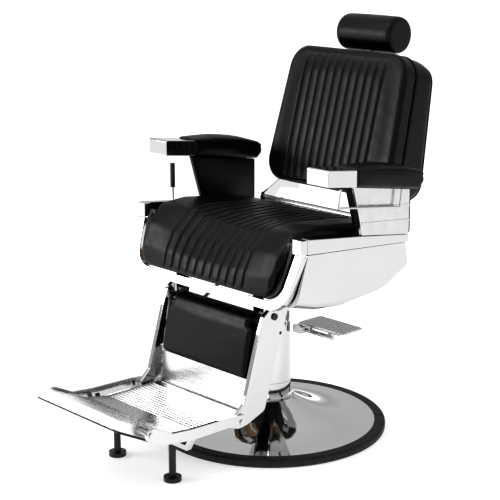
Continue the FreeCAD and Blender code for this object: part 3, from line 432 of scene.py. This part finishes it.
def rubber(name):
    """Matt moulded rubber."""
    nodes = Nodes(name)
    nodes.colours(nodes.noise(60.0, 6.0), grey(0.008), grey(0.02))
    nodes.roughness(nodes.noise(90.0, 5.0), 0.5, 0.7)
    nodes.bumps((nodes.noise(800.0, 4.0), 0.2, 0.0005), (nodes.noise(50.0, 2.0), 0.1, 0.001))
    return nodes.material


def moulded(name):
    """Black plastic with a fine moulded grain."""
    nodes = Nodes(name)
    nodes.colours(nodes.noise(50.0, 4.0), grey(0.006), grey(0.014))
    nodes.roughness(nodes.noise(120.0, 3.0), 0.3, 0.42)
    nodes.bumps((nodes.cells(900.0, "F1"), 0.1, 0.0003))
    return nodes.material


def bronze(name):
    """Turned bearing bronze."""
    nodes = Nodes(name)
    nodes.fixed(Metallic=1.0)
    nodes.colours(nodes.noise(35.0, 5.0), (0.42, 0.24, 0.09), (0.62, 0.40, 0.18))
    nodes.roughness(nodes.noise(80.0, 4.0), 0.25, 0.42)
    nodes.bumps((nodes.noise(300.0, 3.0, (1, 1, 8)), 0.1, 0.0004))
    return nodes.material


def plywood(name):
    """Wood with its grain along X."""
    nodes = Nodes(name)
    nodes.colours(nodes.noise(14.0, 8.0, (1, 14, 14)), (0.33, 0.20, 0.10), (0.52, 0.36, 0.21))
    nodes.roughness(nodes.noise(60.0, 4.0), 0.55, 0.75)
    nodes.bumps((nodes.noise(50.0, 6.0, (1, 14, 14)), 0.15, 0.0006))
    return nodes.material


CHROME = polished("chrome", 0.64, 0.08, 0.03)
SILVER = cast("cast_silver", 0.66)
PLATE = ribbed("plate_silver", 0.74)
TREAD = brushed("tread_silver", 0.74, (0.03, 1, 1), 0.18, 0.28)
SHEET = brushed("brushed_sheet", 0.72, (0.03, 0.03, 1), 0.24, 0.32)
STEEL = brushed("ground_steel", 0.62, (1, 1, 9), 0.22, 0.36)
BRONZE = bronze("bronze")
IRON = paint("black_iron", 0.012)
PAINT = paint("black_paint", 0.009)
VINYL = vinyl("black_vinyl")
PIPING = vinyl("vinyl_piping", 0.002, 0.22, 0.32)
RUBBER = rubber("black_rubber")
PLASTIC = moulded("black_plastic")
PLYWOOD = plywood("plywood")

SLOT_MATERIALS = {
    "chrome": CHROME, "cast_silver": SILVER, "brushed_metal": SHEET, "steel": STEEL, "bronze": BRONZE,
    "black_iron": IRON, "black_paint": PAINT, "black_vinyl": VINYL, "black_rubber": RUBBER,
    "black_plastic": PLASTIC, "plywood": PLYWOOD,
}
SPECIAL_MATERIALS = {"foot_plate": PLATE, "pedal_tread": TREAD, "headrest_post": PAINT}


def dress_frame():
    """Gives every carried-over part its finished material."""
    slots = {part["node"]: part["material_slot"] for part in frame["record"]["subparts"]}
    for name, node in frame["nodes"].items():
        material = SPECIAL_MATERIALS.get(name) or SLOT_MATERIALS[slots[name]]
        node.data.materials.clear()
        node.data.materials.append(material)


# ---- Upholstery -------------------------------------------------------------------------------

PIPING_RADIUS = 2.6
CHANNELS = 10
SEAM_HALF_WIDTH = 2.4


def channel_depth(across, depth, puff, pitch):
    """How far the cover lies below its smooth surface: deep at each seam, puffed up between them."""
    pitch = pitch * MM
    inside = np.abs(across) < pitch * CHANNELS / 2
    phase = np.abs(((across / pitch + CHANNELS / 2) % 1) - 0.5) * 2
    sunk = np.zeros_like(across)
    for index in range(CHANNELS + 1):
        groove = (index - CHANNELS / 2) * pitch
        sunk += depth * MM * np.exp(-((across - groove) / (SEAM_HALF_WIDTH * MM)) ** 2)
    return sunk - np.where(inside, puff * MM * (1 - phase ** 2), 0)


def upholster(node):
    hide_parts(node)


# The seat: a side profile whose front falls like a waterfall inside the polished band.
SEAT_HALF = 293
SEAT_SIDE = [(177, 631, 4), (168, 642, 12), (60, 661, 90), (-95, 678, 60), (-180, 672, 45), (-234, 626, 70),
             (-262, 560, 50), (-270, 503, 7), (-242, 494, 4), (-214, 560, 4), (-204, 620, 4), (140, 599, 4)]
SEAT_EDGE = 24
SEAT_SWELL, SEAT_SWELL_SHARE, SEAT_SWELL_FADE = 24, 0.22, 70
SWELL_LOW, SWELL_HIGH, SWELL_SLOPE, SWELL_FRONT = 600, 640, 0.4, -250
SEAT_PITCH, SEAT_SEAM, SEAT_PUFF, SEAT_SEAM_FADE = 33.2, 3.6, 1.6, 22
FACING_UP, FACING_FRONT, FACING_FADE, SIDEWAYS_FADE = 0.72, 0.69, (0.15, 0.55), (0.75, 0.35)

# The dish in its middle, between these half-widths, heights and distances from front to rear.
DISH, DISH_BACK, DISH_DOWN = 27, 0.6, 0.7
DISH_RIM, DISH_FULL = 275, 40
DISH_LOW, DISH_HIGH = 500, 640
DISH_REAR, DISH_FRONT = 185, -150
UNDERSIDE_Y, UNDERSIDE_Z, UPPER_SKIN = [-250, -200, 140], [500, 620, 600], 30

# The foot of the seat's front, drawn in and with its two corners rounded.
SEAT_FOOT, FOOT_ROUND, FOOT_IN = 501, 52, 14
FOOT_START, FOOT_FRONT, FOOT_FULL = 640, -150, -215
CORNER_START, CORNER_FULL, CORNER_LIFT = 610, -205, 0.9

# The leaning plane of the front band, with the flat strip and the piping that lie in it.
BAND_TOP_Y, BAND_TOP_Z, BAND_LEAN = -217, 626, math.radians(19.6)
BORDER_STRIP = [(-307, 30, 2), (-307, 0, 2), (-291, -134, 50), (291, -134, 50), (307, 0, 2), (307, 30, 2),
                (276, 30, 2), (276, 0, 2), (258, -100, 30), (-258, -100, 30), (-276, 0, 2), (-276, 30, 2)]
BORDER_FRONT, BORDER_REAR, BORDER_EDGE = 1, 12, 2
SEAT_PIPING = [(-290, 30, 2), (-290, 0, 2), (-277, -129, 46), (277, -129, 46), (290, 0, 2), (290, 30, 2)]
SEAT_PIPING_TOP, SEAT_PIPING_GAP = 24, 300


def in_band(across, up, rear):
    """A point from millimetres across, up and behind the leaning plane of the front band."""
    y = BAND_TOP_Y + up * math.sin(BAND_LEAN) + rear * math.cos(BAND_LEAN)
    z = BAND_TOP_Z + up * math.cos(BAND_LEAN) - rear * math.sin(BAND_LEAN)
    return (across * MM, y * MM, z * MM)


def seat_top(normals):
    """1 on the top and front of the seat, 0 on its sides and underneath."""
    facing = normals[:, 2] * FACING_UP - normals[:, 1] * FACING_FRONT
    return smoothstep(*FACING_FADE, facing) * smoothstep(*SIDEWAYS_FADE, np.abs(normals[:, 0]))


def shape_seat_front(places):
    """Dishes the middle, draws the foot of the seat in, and rounds its two lower corners."""
    middle = smoothstep(DISH_RIM * MM, DISH_FULL * MM, np.abs(places[:, 0]))
    front = smoothstep(DISH_LOW * MM, DISH_HIGH * MM, places[:, 2])
    front *= smoothstep(DISH_REAR * MM, DISH_FRONT * MM, places[:, 1])
    underside = np.interp(places[:, 1] / MM, UNDERSIDE_Y, UNDERSIDE_Z)
    dish = DISH * MM * middle * front * smoothstep(0, UPPER_SKIN, places[:, 2] / MM - underside)
    places[:, 1] += DISH_BACK * dish
    places[:, 2] -= DISH_DOWN * dish

    low = smoothstep(FOOT_START * MM, SEAT_FOOT * MM, places[:, 2])
    low *= smoothstep(FOOT_FRONT * MM, FOOT_FULL * MM, places[:, 1])
    places[:, 0] *= 1 - low * FOOT_IN / SEAT_HALF

    past = np.clip(np.abs(places[:, 0]) / MM - (SEAT_HALF - FOOT_IN - FOOT_ROUND), 0, FOOT_ROUND)
    lift = FOOT_ROUND - np.sqrt(FOOT_ROUND ** 2 - past ** 2)
    share = smoothstep(CORNER_START * MM, SEAT_FOOT * MM, places[:, 2])
    share *= smoothstep(FOOT_FRONT * MM, CORNER_FULL * MM, places[:, 1])
    places[:, 2] += lift * MM * share * CORNER_LIFT
    return places


def seat_swell(places):
    """The seat swells on its top and upper front, and not beside its sides."""
    height = places[:, 2] - SWELL_SLOPE * (places[:, 1] - SWELL_FRONT * MM)
    inside = smoothstep(0, SEAT_SWELL_FADE * MM, SEAT_HALF * MM - np.abs(places[:, 0]))
    return SEAT_SWELL_SHARE * inside * smoothstep(SWELL_LOW * MM, SWELL_HIGH * MM, height)


def make_seat():
    piece = block("seat_upholstery", rounded(SEAT_SIDE), -SEAT_HALF, SEAT_HALF, (SEAT_EDGE, SEAT_EDGE),
                  from_side, VINYL, "seat")
    remesh(piece, VOXEL)
    places, _ = arrays(piece)
    set_places(piece, shape_seat_front(places))
    inflate(piece, SEAT_SWELL, seat_swell)
    refine(piece)
    places, normals = arrays(piece)
    fade = smoothstep(SEAT_FOOT * MM, (SEAT_FOOT + SEAT_SEAM_FADE) * MM, places[:, 2])
    sunk = channel_depth(places[:, 0], SEAT_SEAM, SEAT_PUFF, SEAT_PITCH) * fade
    set_places(piece, places - normals * (sunk * seat_top(normals))[:, None])
    upholster("seat_cushion")
    make_seat_border()


def make_seat_border():
    """The flat strip of vinyl that fills the band around the pad, and the piping along the pad's edge."""
    border = block("seat_border", rounded(BORDER_STRIP), BORDER_FRONT, BORDER_REAR,
                   (BORDER_EDGE, BORDER_EDGE), in_band, VINYL, "seat")
    line = rounded(SEAT_PIPING)
    path = [in_band(across, up, BORDER_FRONT) for across, up in line if up < SEAT_PIPING_TOP]
    first = next(index for index in range(len(path))
                 if abs(path[index][0] - path[index - 1][0]) > SEAT_PIPING_GAP * MM)
    path = path[first:] + path[:first]
    tube("seat_piping", path, PIPING_RADIUS, PIPING, "seat")


# The back: one outline for its front pad and for the upholstered shell behind it.
BACK_LOW, BACK_HIGH = 67, 489
BACK_LOW_HALF, BACK_TOP_HALF = 257, 234
BACK_CORNER = 68
BACK_OUTLINE = [(-BACK_LOW_HALF, BACK_LOW, BACK_CORNER), (BACK_LOW_HALF, BACK_LOW, BACK_CORNER),
                (BACK_TOP_HALF, BACK_HIGH, BACK_CORNER), (-BACK_TOP_HALF, BACK_HIGH, BACK_CORNER)]
FRONT_FACE, FRONT_SEAM, SHELL_START = -9, 3, 46.4
FRONT_EDGE, FRONT_REAR_EDGE, FRONT_GAP = 15, 4, 1
FRONT_SWELL, FRONT_SWELL_SHARE, FRONT_SWELL_FADE, FRONT_SWELL_DEEP = 24, 0.3, 80, 10
BACK_PITCH, BACK_SEAM, BACK_PUFF = 31.5, 4.0, 1.8
BACK_SEAM_FOOT, BACK_SEAM_HEAD, BACK_FACING_FADE = (8, 45), (10, 62), (0.35, 0.8)
PANEL_RIM, PANEL_FULL, PANEL_SUNK = 5.3, 5.0, 3.0
FRONT_PIPING = (("front", FRONT_SEAM, 1.0), ("seam", SHELL_START, -0.5))    # name, depth and inset

SHELL_FOOT, SHELL_SHOULDER, SHELL_TOP, SHELL_SHOULDER_UP = 162, 129, 105, 460
SHELL_SPAN = 100.0    # the extrusion's length, which spread then fits between the shell's two faces
SHELL_EDGE, SHELL_REAR_EDGE = 3, 24
SHELL_SWELL, SHELL_SWELL_SHARE, SHELL_SWELL_HALF, SHELL_SWELL_FADE = 18, 0.18, 250, 80
SHELL_PIPING_IN, SHELL_PIPING_DEEP = 7, 5


def back_frame():
    """The back's own directions: its pivot, along it, and out of its rear."""
    along = Vector(JOINTS["headrest_slide"]["axis"]).normalized()
    rearward = along.cross(Vector((1, 0, 0)))
    return Vector(JOINTS["back_recline"]["pos_m"]), along, rearward


PIVOT, ALONG, REARWARD = back_frame()


def on_back(across, up, rear):
    """A point on the back from millimetres across, up its slope and rearward."""
    return tuple(PIVOT + Vector((across * MM, 0, 0)) + ALONG * (up * MM) + REARWARD * (rear * MM))


def back_local(places):
    """Across, up and rearward distances, in metres, of places on the back."""
    shifted = places - np.array(PIVOT)
    return places[:, 0], shifted @ np.array(ALONG), shifted @ np.array(REARWARD)


def front_swell(places):
    """The front pad swells away from its edges, and only near its face."""
    across, up, rear = back_local(places)
    edge = np.minimum(up - BACK_LOW * MM, BACK_HIGH * MM - up)
    edge = np.minimum(BACK_TOP_HALF * MM - np.abs(across), edge)
    share = FRONT_SWELL_SHARE * smoothstep(0, FRONT_SWELL_FADE * MM, edge)
    return share * smoothstep(FRONT_SWELL_DEEP * MM, 0, rear)


def sew_front(piece):
    """Presses the channels and the sunk panel that holds them into the front pad."""
    places, normals = arrays(piece)
    across, up, _ = back_local(places)
    facing = smoothstep(*BACK_FACING_FADE, -(normals @ np.array(REARWARD)))
    ends = smoothstep(*[(BACK_LOW + inset) * MM for inset in BACK_SEAM_FOOT], up)
    ends *= smoothstep(*[(BACK_HIGH - inset) * MM for inset in BACK_SEAM_HEAD], up)
    panel = smoothstep(BACK_PITCH * PANEL_RIM * MM, BACK_PITCH * PANEL_FULL * MM, np.abs(across))
    sunk = channel_depth(across, BACK_SEAM, BACK_PUFF, BACK_PITCH) + PANEL_SUNK * MM * panel
    set_places(piece, places - normals * (sunk * facing * ends)[:, None])


def make_back_front():
    outline = rounded(BACK_OUTLINE)
    piece = block("back_upholstery", outline, FRONT_FACE, SHELL_START - FRONT_GAP,
                  (FRONT_EDGE, FRONT_REAR_EDGE), on_back, VINYL, "back")
    remesh(piece, VOXEL)
    inflate(piece, FRONT_SWELL, front_swell)
    refine(piece)
    sew_front(piece)
    upholster("back_cushion")
    for name, rear, inset in FRONT_PIPING:
        path = [on_back(*(place - inset * out), rear) for place, out in zip(outline, outward(outline))]
        piping = tube(f"back_piping_{name}", path, PIPING_RADIUS, PIPING, "back", closed=True)


def shell_rear(up):
    """How far back the shell's rear surface lies at a height on the back, in millimetres."""
    heights = [BACK_LOW, SHELL_SHOULDER_UP, BACK_HIGH]
    return float(np.interp(up, heights, [SHELL_FOOT, SHELL_SHOULDER, SHELL_TOP]))


def in_shell(across, up, level):
    """A point of the shell, whose level runs over SHELL_SPAN from its front face to its rear one."""
    share = (level - SHELL_START) / SHELL_SPAN
    return on_back(across, up, SHELL_START + share * (shell_rear(up) - SHELL_START))


def shell_swell(places):
    inside = smoothstep(0, SHELL_SWELL_FADE * MM, SHELL_SWELL_HALF * MM - np.abs(places[:, 0]))
    return SHELL_SWELL_SHARE * inside


def make_back_shell():
    outline = rounded(BACK_OUTLINE)
    piece = block("back_shell_upholstery", outline, SHELL_START, SHELL_START + SHELL_SPAN,
                  (SHELL_EDGE, SHELL_REAR_EDGE), in_shell, VINYL, "back")
    remesh(piece, VOXEL)
    inflate(piece, SHELL_SWELL, shell_swell)
    refine(piece)
    upholster("back_shell")
    rim = [place - SHELL_PIPING_IN * out for place, out in zip(outline, outward(outline))]
    path = [in_shell(*place, SHELL_START + SHELL_SPAN - SHELL_PIPING_DEEP) for place in rim]
    tube("shell_piping", path, PIPING_RADIUS, PIPING, "back", closed=True)


# The headrest: a roll with a slight crown, flat ends and piping around both of them.
ROLL_END_GAP, ROLL_SKIN_GAP = 1, 0.5
ROLL_END_RINGS = (0.0, 0.35, 0.7)
ROLL_EDGE, ROLL_EDGE_STEPS = 13, 8
ROLL_CROWN, ROLL_CROWN_START, ROLL_CROWN_STEPS = 1.0, 20, 12
ROLL_SIDES = 96
ROLL_PIPING_RADIUS, ROLL_PIPING_IN, ROLL_PIPING_DOWN = 2.0, 3, 5


def roll_profile(half, radius):
    """(x, distance from the axis) pairs along the roll's skin, from the middle of one end to the other."""
    edge = ROLL_EDGE * MM
    profile = [(-half, radius * share) for share in ROLL_END_RINGS]
    profile += [(-half + edge * (1 - math.cos(angle)), radius - edge + edge * math.sin(angle))
                for angle in np.linspace(0, QUARTER_TURN, ROLL_EDGE_STEPS)]
    profile += [(x, radius + ROLL_CROWN * MM * math.cos(x / half * QUARTER_TURN))
                for x in np.linspace(-half + ROLL_CROWN_START * MM, 0, ROLL_CROWN_STEPS)]
    return profile + [(-x, distance) for x, distance in profile[::-1][1:]]


def around(centre, x, distance, angle):
    """A point at a distance from an axis along X through centre."""
    return (centre.x + x, centre.y + distance * math.cos(angle), centre.z + distance * math.sin(angle))


def make_headrest():
    low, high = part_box("headrest_roll")
    centre = (low + high) / 2
    half = (high.x - low.x) / 2 - ROLL_END_GAP * MM
    radius = (high.z - low.z) / 2 - ROLL_SKIN_GAP * MM
    profile = roll_profile(half, radius)
    turns = [turn / ROLL_SIDES * 2 * math.pi for turn in range(ROLL_SIDES)]
    points = [around(centre, x, distance, angle) for x, distance in profile for angle in turns]
    piece = new_piece("headrest_upholstery", points, walls(len(profile), ROLL_SIDES), VINYL, "roll")
    upholster("headrest_roll")
    for name, side in SIDES:
        place, distance = side * (half - ROLL_PIPING_IN * MM), radius - ROLL_PIPING_DOWN * MM
        path = [around(centre, place, distance, angle)
                for angle in np.linspace(0, 2 * math.pi, ROLL_SIDES)[:-1]]
        piping = tube(f"headrest_piping_{name}", path, ROLL_PIPING_RADIUS, PIPING, "roll", closed=True)


# The arms: a crowned pad on each, with piping along its two top edges, and a thin panel on the inner side.
ARM_INNER, ARM_OUTER = 291, 373
ARM_SIDE = [(-36, 792, 2), (-36, 843, 5), (60, 837, 60), (168, 822, 60), (241, 803, 22), (251, 772, 14),
            (229, 751, 6)]
ARM_STEP, ARM_EDGE, ARM_VOXEL_SHARE = 4.0, 9, 0.7
ARM_SWELL, ARM_SWELL_SHARE = 8, 0.35
ARM_FRONT, ARM_LENGTH, ARM_CROWN, ARM_CROWN_SKEW, ARM_TOP_FADE = -36, 270, 5, 0.8, (0.3, 0.9)
ARM_RIM_STEP, ARM_RIM_LOW, ARM_RIM_SLOPE, ARM_RIM_END = 3.0, 798, 0.06, 243
ARM_PIPING_RADIUS, ARM_PIPING_DOWN, ARM_PIPING_IN, ARM_PIPING_FRONT = 1.8, 5, 2, -33

PANEL_SIDE = [(14, 650, 2), (-28, 787, 2), (239, 746, 2), (239, 616, 2)]
PANEL_STEP, PANEL_INNER, PANEL_OUTER, PANEL_EDGES = 5.0, 315.5, 330.3, (5, 1)
PANEL_SEAM_RADIUS, PANEL_SEAM_IN, PANEL_SEAM_DEEP = 0.7, 11, 0.4


def arm_swell(places):
    return ARM_SWELL_SHARE * smoothstep(ARM_FRONT * MM, 0, places[:, 1])


def crown_arm(piece):
    """Raises the middle of an arm pad's top."""
    middle = (ARM_INNER + ARM_OUTER) / 2 * MM
    half = (ARM_OUTER - ARM_INNER) / 2 * MM
    places, normals = arrays(piece)
    rise = (1 - (np.abs(np.abs(places[:, 0]) - middle) / half) ** 2).clip(0)
    lift = smoothstep(*ARM_TOP_FADE, normals[:, 2]) * rise
    along = np.clip((places[:, 1] - ARM_FRONT * MM) / (ARM_LENGTH * MM), 0, 1)
    places[:, 2] += lift * ARM_CROWN * MM * np.sin(math.pi * along ** ARM_CROWN_SKEW)
    set_places(piece, places)


def make_arm_pads():
    outline = rounded(ARM_SIDE, ARM_STEP)
    rim = [(y, z) for y, z in evenly(outline, ARM_RIM_STEP)
           if z > ARM_RIM_LOW - ARM_RIM_SLOPE * y and ARM_PIPING_FRONT < y < ARM_RIM_END]
    for name, side in SIDES:
        piece = block(f"arm_upholstery_{name}", outline, ARM_INNER, ARM_OUTER, (ARM_EDGE, ARM_EDGE),
                      lambda y, z, across: from_side(y, z, side * across), VINYL, "seat")
        remesh(piece, VOXEL * ARM_VOXEL_SHARE)
        inflate(piece, ARM_SWELL, arm_swell)
        refine(piece)
        crown_arm(piece)
        upholster(f"arm_pad_{name}")
        for edge, at in (("inner", ARM_INNER + ARM_PIPING_IN), ("outer", ARM_OUTER - ARM_PIPING_IN)):
            path = [from_side(y, z - ARM_PIPING_DOWN, side * at) for y, z in rim]
            piping = tube(f"arm_piping_{name}_{edge}", path, ARM_PIPING_RADIUS, PIPING, "seat")


def make_arm_panels():
    outline = rounded(PANEL_SIDE, PANEL_STEP)
    stitched = [place - PANEL_SEAM_IN * out for place, out in zip(outline, outward(outline))]
    for name, side in SIDES:
        piece = block(f"arm_panel_upholstery_{name}", outline, PANEL_INNER, PANEL_OUTER, PANEL_EDGES,
                      lambda y, z, across: from_side(y, z, side * across), VINYL, "seat")
        upholster("arm_panels")
        path = [from_side(*place, side * (PANEL_INNER + PANEL_SEAM_DEEP)) for place in stitched]
        seam = tube(f"arm_panel_seam_{name}", path, PANEL_SEAM_RADIUS, PIPING, "seat", closed=True)


# The leg pad: an outline seen from the front, laid on a front surface given as (height, y) pairs.
LEG_FRONT = [(252, -272), (264, -275), (370, -256), (396, -250), (412, -244), (422, -237), (428, -229)]
LEG_OUTLINE = [(-180, 253, 6), (180, 253, 6), (180, 396, 6), (161, 396, 2), (161, 427, 8), (-161, 427, 8),
               (-161, 396, 2), (-180, 396, 6)]
LEG_STEP, LEG_DEEP, LEG_EDGES = 5.0, 42, (14, 2)
LEG_SWELL, LEG_SWELL_SHARE, LEG_SWELL_HALF, LEG_SWELL_FADE = 16, 0.12, 180, 120
LEG_SWELL_FOOT, LEG_SWELL_HEAD = (252, 280), (430, 400)


def on_leg(across, up, level):
    heights, fronts = zip(*LEG_FRONT)
    return (across * MM, (float(np.interp(up, heights, fronts)) + level) * MM, up * MM)


def leg_swell(places):
    inside = smoothstep(0, LEG_SWELL_FADE * MM, LEG_SWELL_HALF * MM - np.abs(places[:, 0]))
    for start, full in (LEG_SWELL_FOOT, LEG_SWELL_HEAD):
        inside *= smoothstep(start * MM, full * MM, places[:, 2])
    return LEG_SWELL_SHARE * inside


def make_leg_pad():
    outline = rounded(LEG_OUTLINE, LEG_STEP)
    piece = block("leg_upholstery", outline, 0, LEG_DEEP, LEG_EDGES, on_leg, VINYL, "leg")
    remesh(piece, VOXEL)
    inflate(piece, LEG_SWELL, leg_swell)
    refine(piece)
    upholster("leg_pad")


# The padded side of the foot plate.
PLATE_SIDE = [(-293, 151, 2), (-293, 139, 7), (-467, 132, 40), (-540, 137, 60), (-610, 159, 60),
              (-721, 216, 9), (-717, 243, 2), (-602, 186, 10), (-543, 162, 60), (-467, 151, 10)]
PLATE_STEP, PLATE_HALF, PLATE_EDGE = 5.0, 179, 2.5


def make_plate_pad():
    piece = block("plate_upholstery", rounded(PLATE_SIDE, PLATE_STEP), -PLATE_HALF, PLATE_HALF,
                  (PLATE_EDGE, PLATE_EDGE), from_side, VINYL, "plate")
    upholster("plate_pad")


# ---- Studio, in metres ------------------------------------------------------------------------

CAMERA_PLACE = Vector((2.7729, -2.7035, 1.5193))
CAMERA_TARGET = Vector((-0.08735, 0.0, 0.5279))
CAMERA_LENS, CAMERA_FILM, CAMERA_REACH = 97.4, 36, 200
FLOOR_REACH, FLOOR_DROP, FLOOR_GLOW = 60.0, 0.0005, 0.36
BACKDROP_STRENGTH = 1.3
SURROUND = [(0.01, 0.7), (0.5, 0.6), (0.55, 0.38), (0.62, 0.5), (0.74, 0.5), (0.99, 0.6)]
SOFTBOXES = [("left_box", (-2.5, -3.1, 1.6), (0, 0, 0.6), (1.8, 1.5), 50),
             ("top_box", (-0.6, -1.4, 3.2), (0, 0, 0.4), (2.4, 2.4), 26)]
FLAGS = [("card_front", (0.5, -2.6, 0.45), 0.7, 0.42, 0.0),
         ("card_right", (3.4, 0.9, 0.8), 0.35, 1.1, QUARTER_TURN),
         ("card_back", (-0.4, 3.2, 0.7), 0.35, 0.9, 0.0)]


def aim(place, target):
    """The turn that points a camera or a light from one place at another."""
    return (Vector(target) - Vector(place)).to_track_quat("-Z", "Y").to_euler()


def make_camera():
    data = bpy.data.cameras.new("camera")
    data.lens = CAMERA_LENS
    data.sensor_width = CAMERA_FILM
    data.clip_end = CAMERA_REACH
    camera = bpy.data.objects.new("camera", data)
    camera.location = CAMERA_PLACE
    camera.rotation_euler = aim(CAMERA_PLACE, CAMERA_TARGET)
    bpy.context.scene.collection.objects.link(camera)
    bpy.context.scene.camera = camera


def softbox(name, place, target, size, power):
    data = bpy.data.lights.new(name, "AREA")
    data.shape = "RECTANGLE"
    data.size, data.size_y = size
    data.energy = power
    light = bpy.data.objects.new(name, data)
    light.location = place
    light.rotation_euler = aim(place, target)
    bpy.context.scene.collection.objects.link(light)


def stage_sheet(name, corners, material):
    """One flat face of the studio, which isn't part of the chair."""
    mesh = bpy.data.meshes.new(name)
    mesh.from_pydata([tuple(corner) for corner in corners], [], [(0, 1, 2, 3)])
    mesh.materials.append(material)
    sheet = bpy.data.objects.new(name, mesh)
    bpy.context.scene.collection.objects.link(sheet)
    return sheet


def make_floor():
    nodes = Nodes("pale_floor")
    nodes.colours(nodes.noise(2.0, 4.0), grey(0.90), grey(0.93))
    nodes.roughness(nodes.noise(6.0, 3.0), 0.75, 0.9)
    nodes.fixed(Emission_Color=(1, 1, 1, 1), Emission_Strength=FLOOR_GLOW)
    turns = ((-1, -1), (1, -1), (1, 1), (-1, 1))
    corners = [(across * FLOOR_REACH, ahead * FLOOR_REACH, 0) for across, ahead in turns]
    floor = stage_sheet("floor", corners, nodes.material)
    floor.location.z = -FLOOR_DROP


def make_surround():
    """A white room for the camera, and a graded one, darkest at eye level, for light and reflections."""
    world = bpy.data.worlds.new("studio")
    world.use_nodes = True
    tree = world.node_tree
    plain = tree.nodes["Background"]
    plain.inputs["Color"].default_value = (1.0, 1.0, 1.0, 1)
    plain.inputs["Strength"].default_value = BACKDROP_STRENGTH
    direction = tree.nodes.new("ShaderNodeTexCoord")
    split = tree.nodes.new("ShaderNodeSeparateXYZ")
    tree.links.new(direction.outputs["Generated"], split.inputs["Vector"])
    height = tree.nodes.new("ShaderNodeValToRGB")
    for place, shade in SURROUND:
        stop = height.color_ramp.elements.new(place)
        stop.color = (*grey(shade), 1)
    height.color_ramp.elements.remove(height.color_ramp.elements[-1])
    height.color_ramp.elements.remove(height.color_ramp.elements[0])
    spread = tree.nodes.new("ShaderNodeMapRange")
    spread.inputs["From Min"].default_value = -1.0
    tree.links.new(split.outputs["Z"], spread.inputs["Value"])
    tree.links.new(spread.outputs["Result"], height.inputs["Fac"])
    graded = tree.nodes.new("ShaderNodeBackground")
    tree.links.new(height.outputs["Color"], graded.inputs["Color"])
    choose = tree.nodes.new("ShaderNodeMixShader")
    seen = tree.nodes.new("ShaderNodeLightPath")
    tree.links.new(seen.outputs["Is Camera Ray"], choose.inputs["Fac"])
    tree.links.new(graded.outputs["Background"], choose.inputs[1])
    tree.links.new(plain.outputs["Background"], choose.inputs[2])
    tree.links.new(choose.outputs["Shader"], tree.nodes["World Output"].inputs["Surface"])
    bpy.context.scene.world = world
    bpy.context.scene.view_settings.view_transform = "Standard"
    bpy.context.scene.view_settings.look = "High Contrast"


def make_flags():
    """Black studio cards out of view, which give the bright metal its dark lines."""
    nodes = Nodes("black_card")
    nodes.colours(nodes.noise(3.0, 3.0), grey(0.004), grey(0.006))
    nodes.roughness(nodes.noise(5.0, 3.0), 0.8, 0.9)
    for name, centre, half_wide, half_tall, facing in FLAGS:
        across = Vector((math.cos(facing), math.sin(facing), 0)) * half_wide
        middle = Vector(centre)
        rise = Vector((0, 0, half_tall))
        corners = [middle - across - rise, middle + across - rise,
                   middle + across + rise, middle - across + rise]
        card = stage_sheet(name, corners, nodes.material)
        card.visible_camera = False
        card.visible_diffuse = False
        card.visible_shadow = False


dress_frame()
make_seat()
make_back_front()
make_back_shell()
make_headrest()
make_arm_pads()
make_arm_panels()
make_leg_pad()
make_plate_pad()
make_camera()
make_floor()
make_surround()
for box in SOFTBOXES:
    softbox(*box)
make_flags()
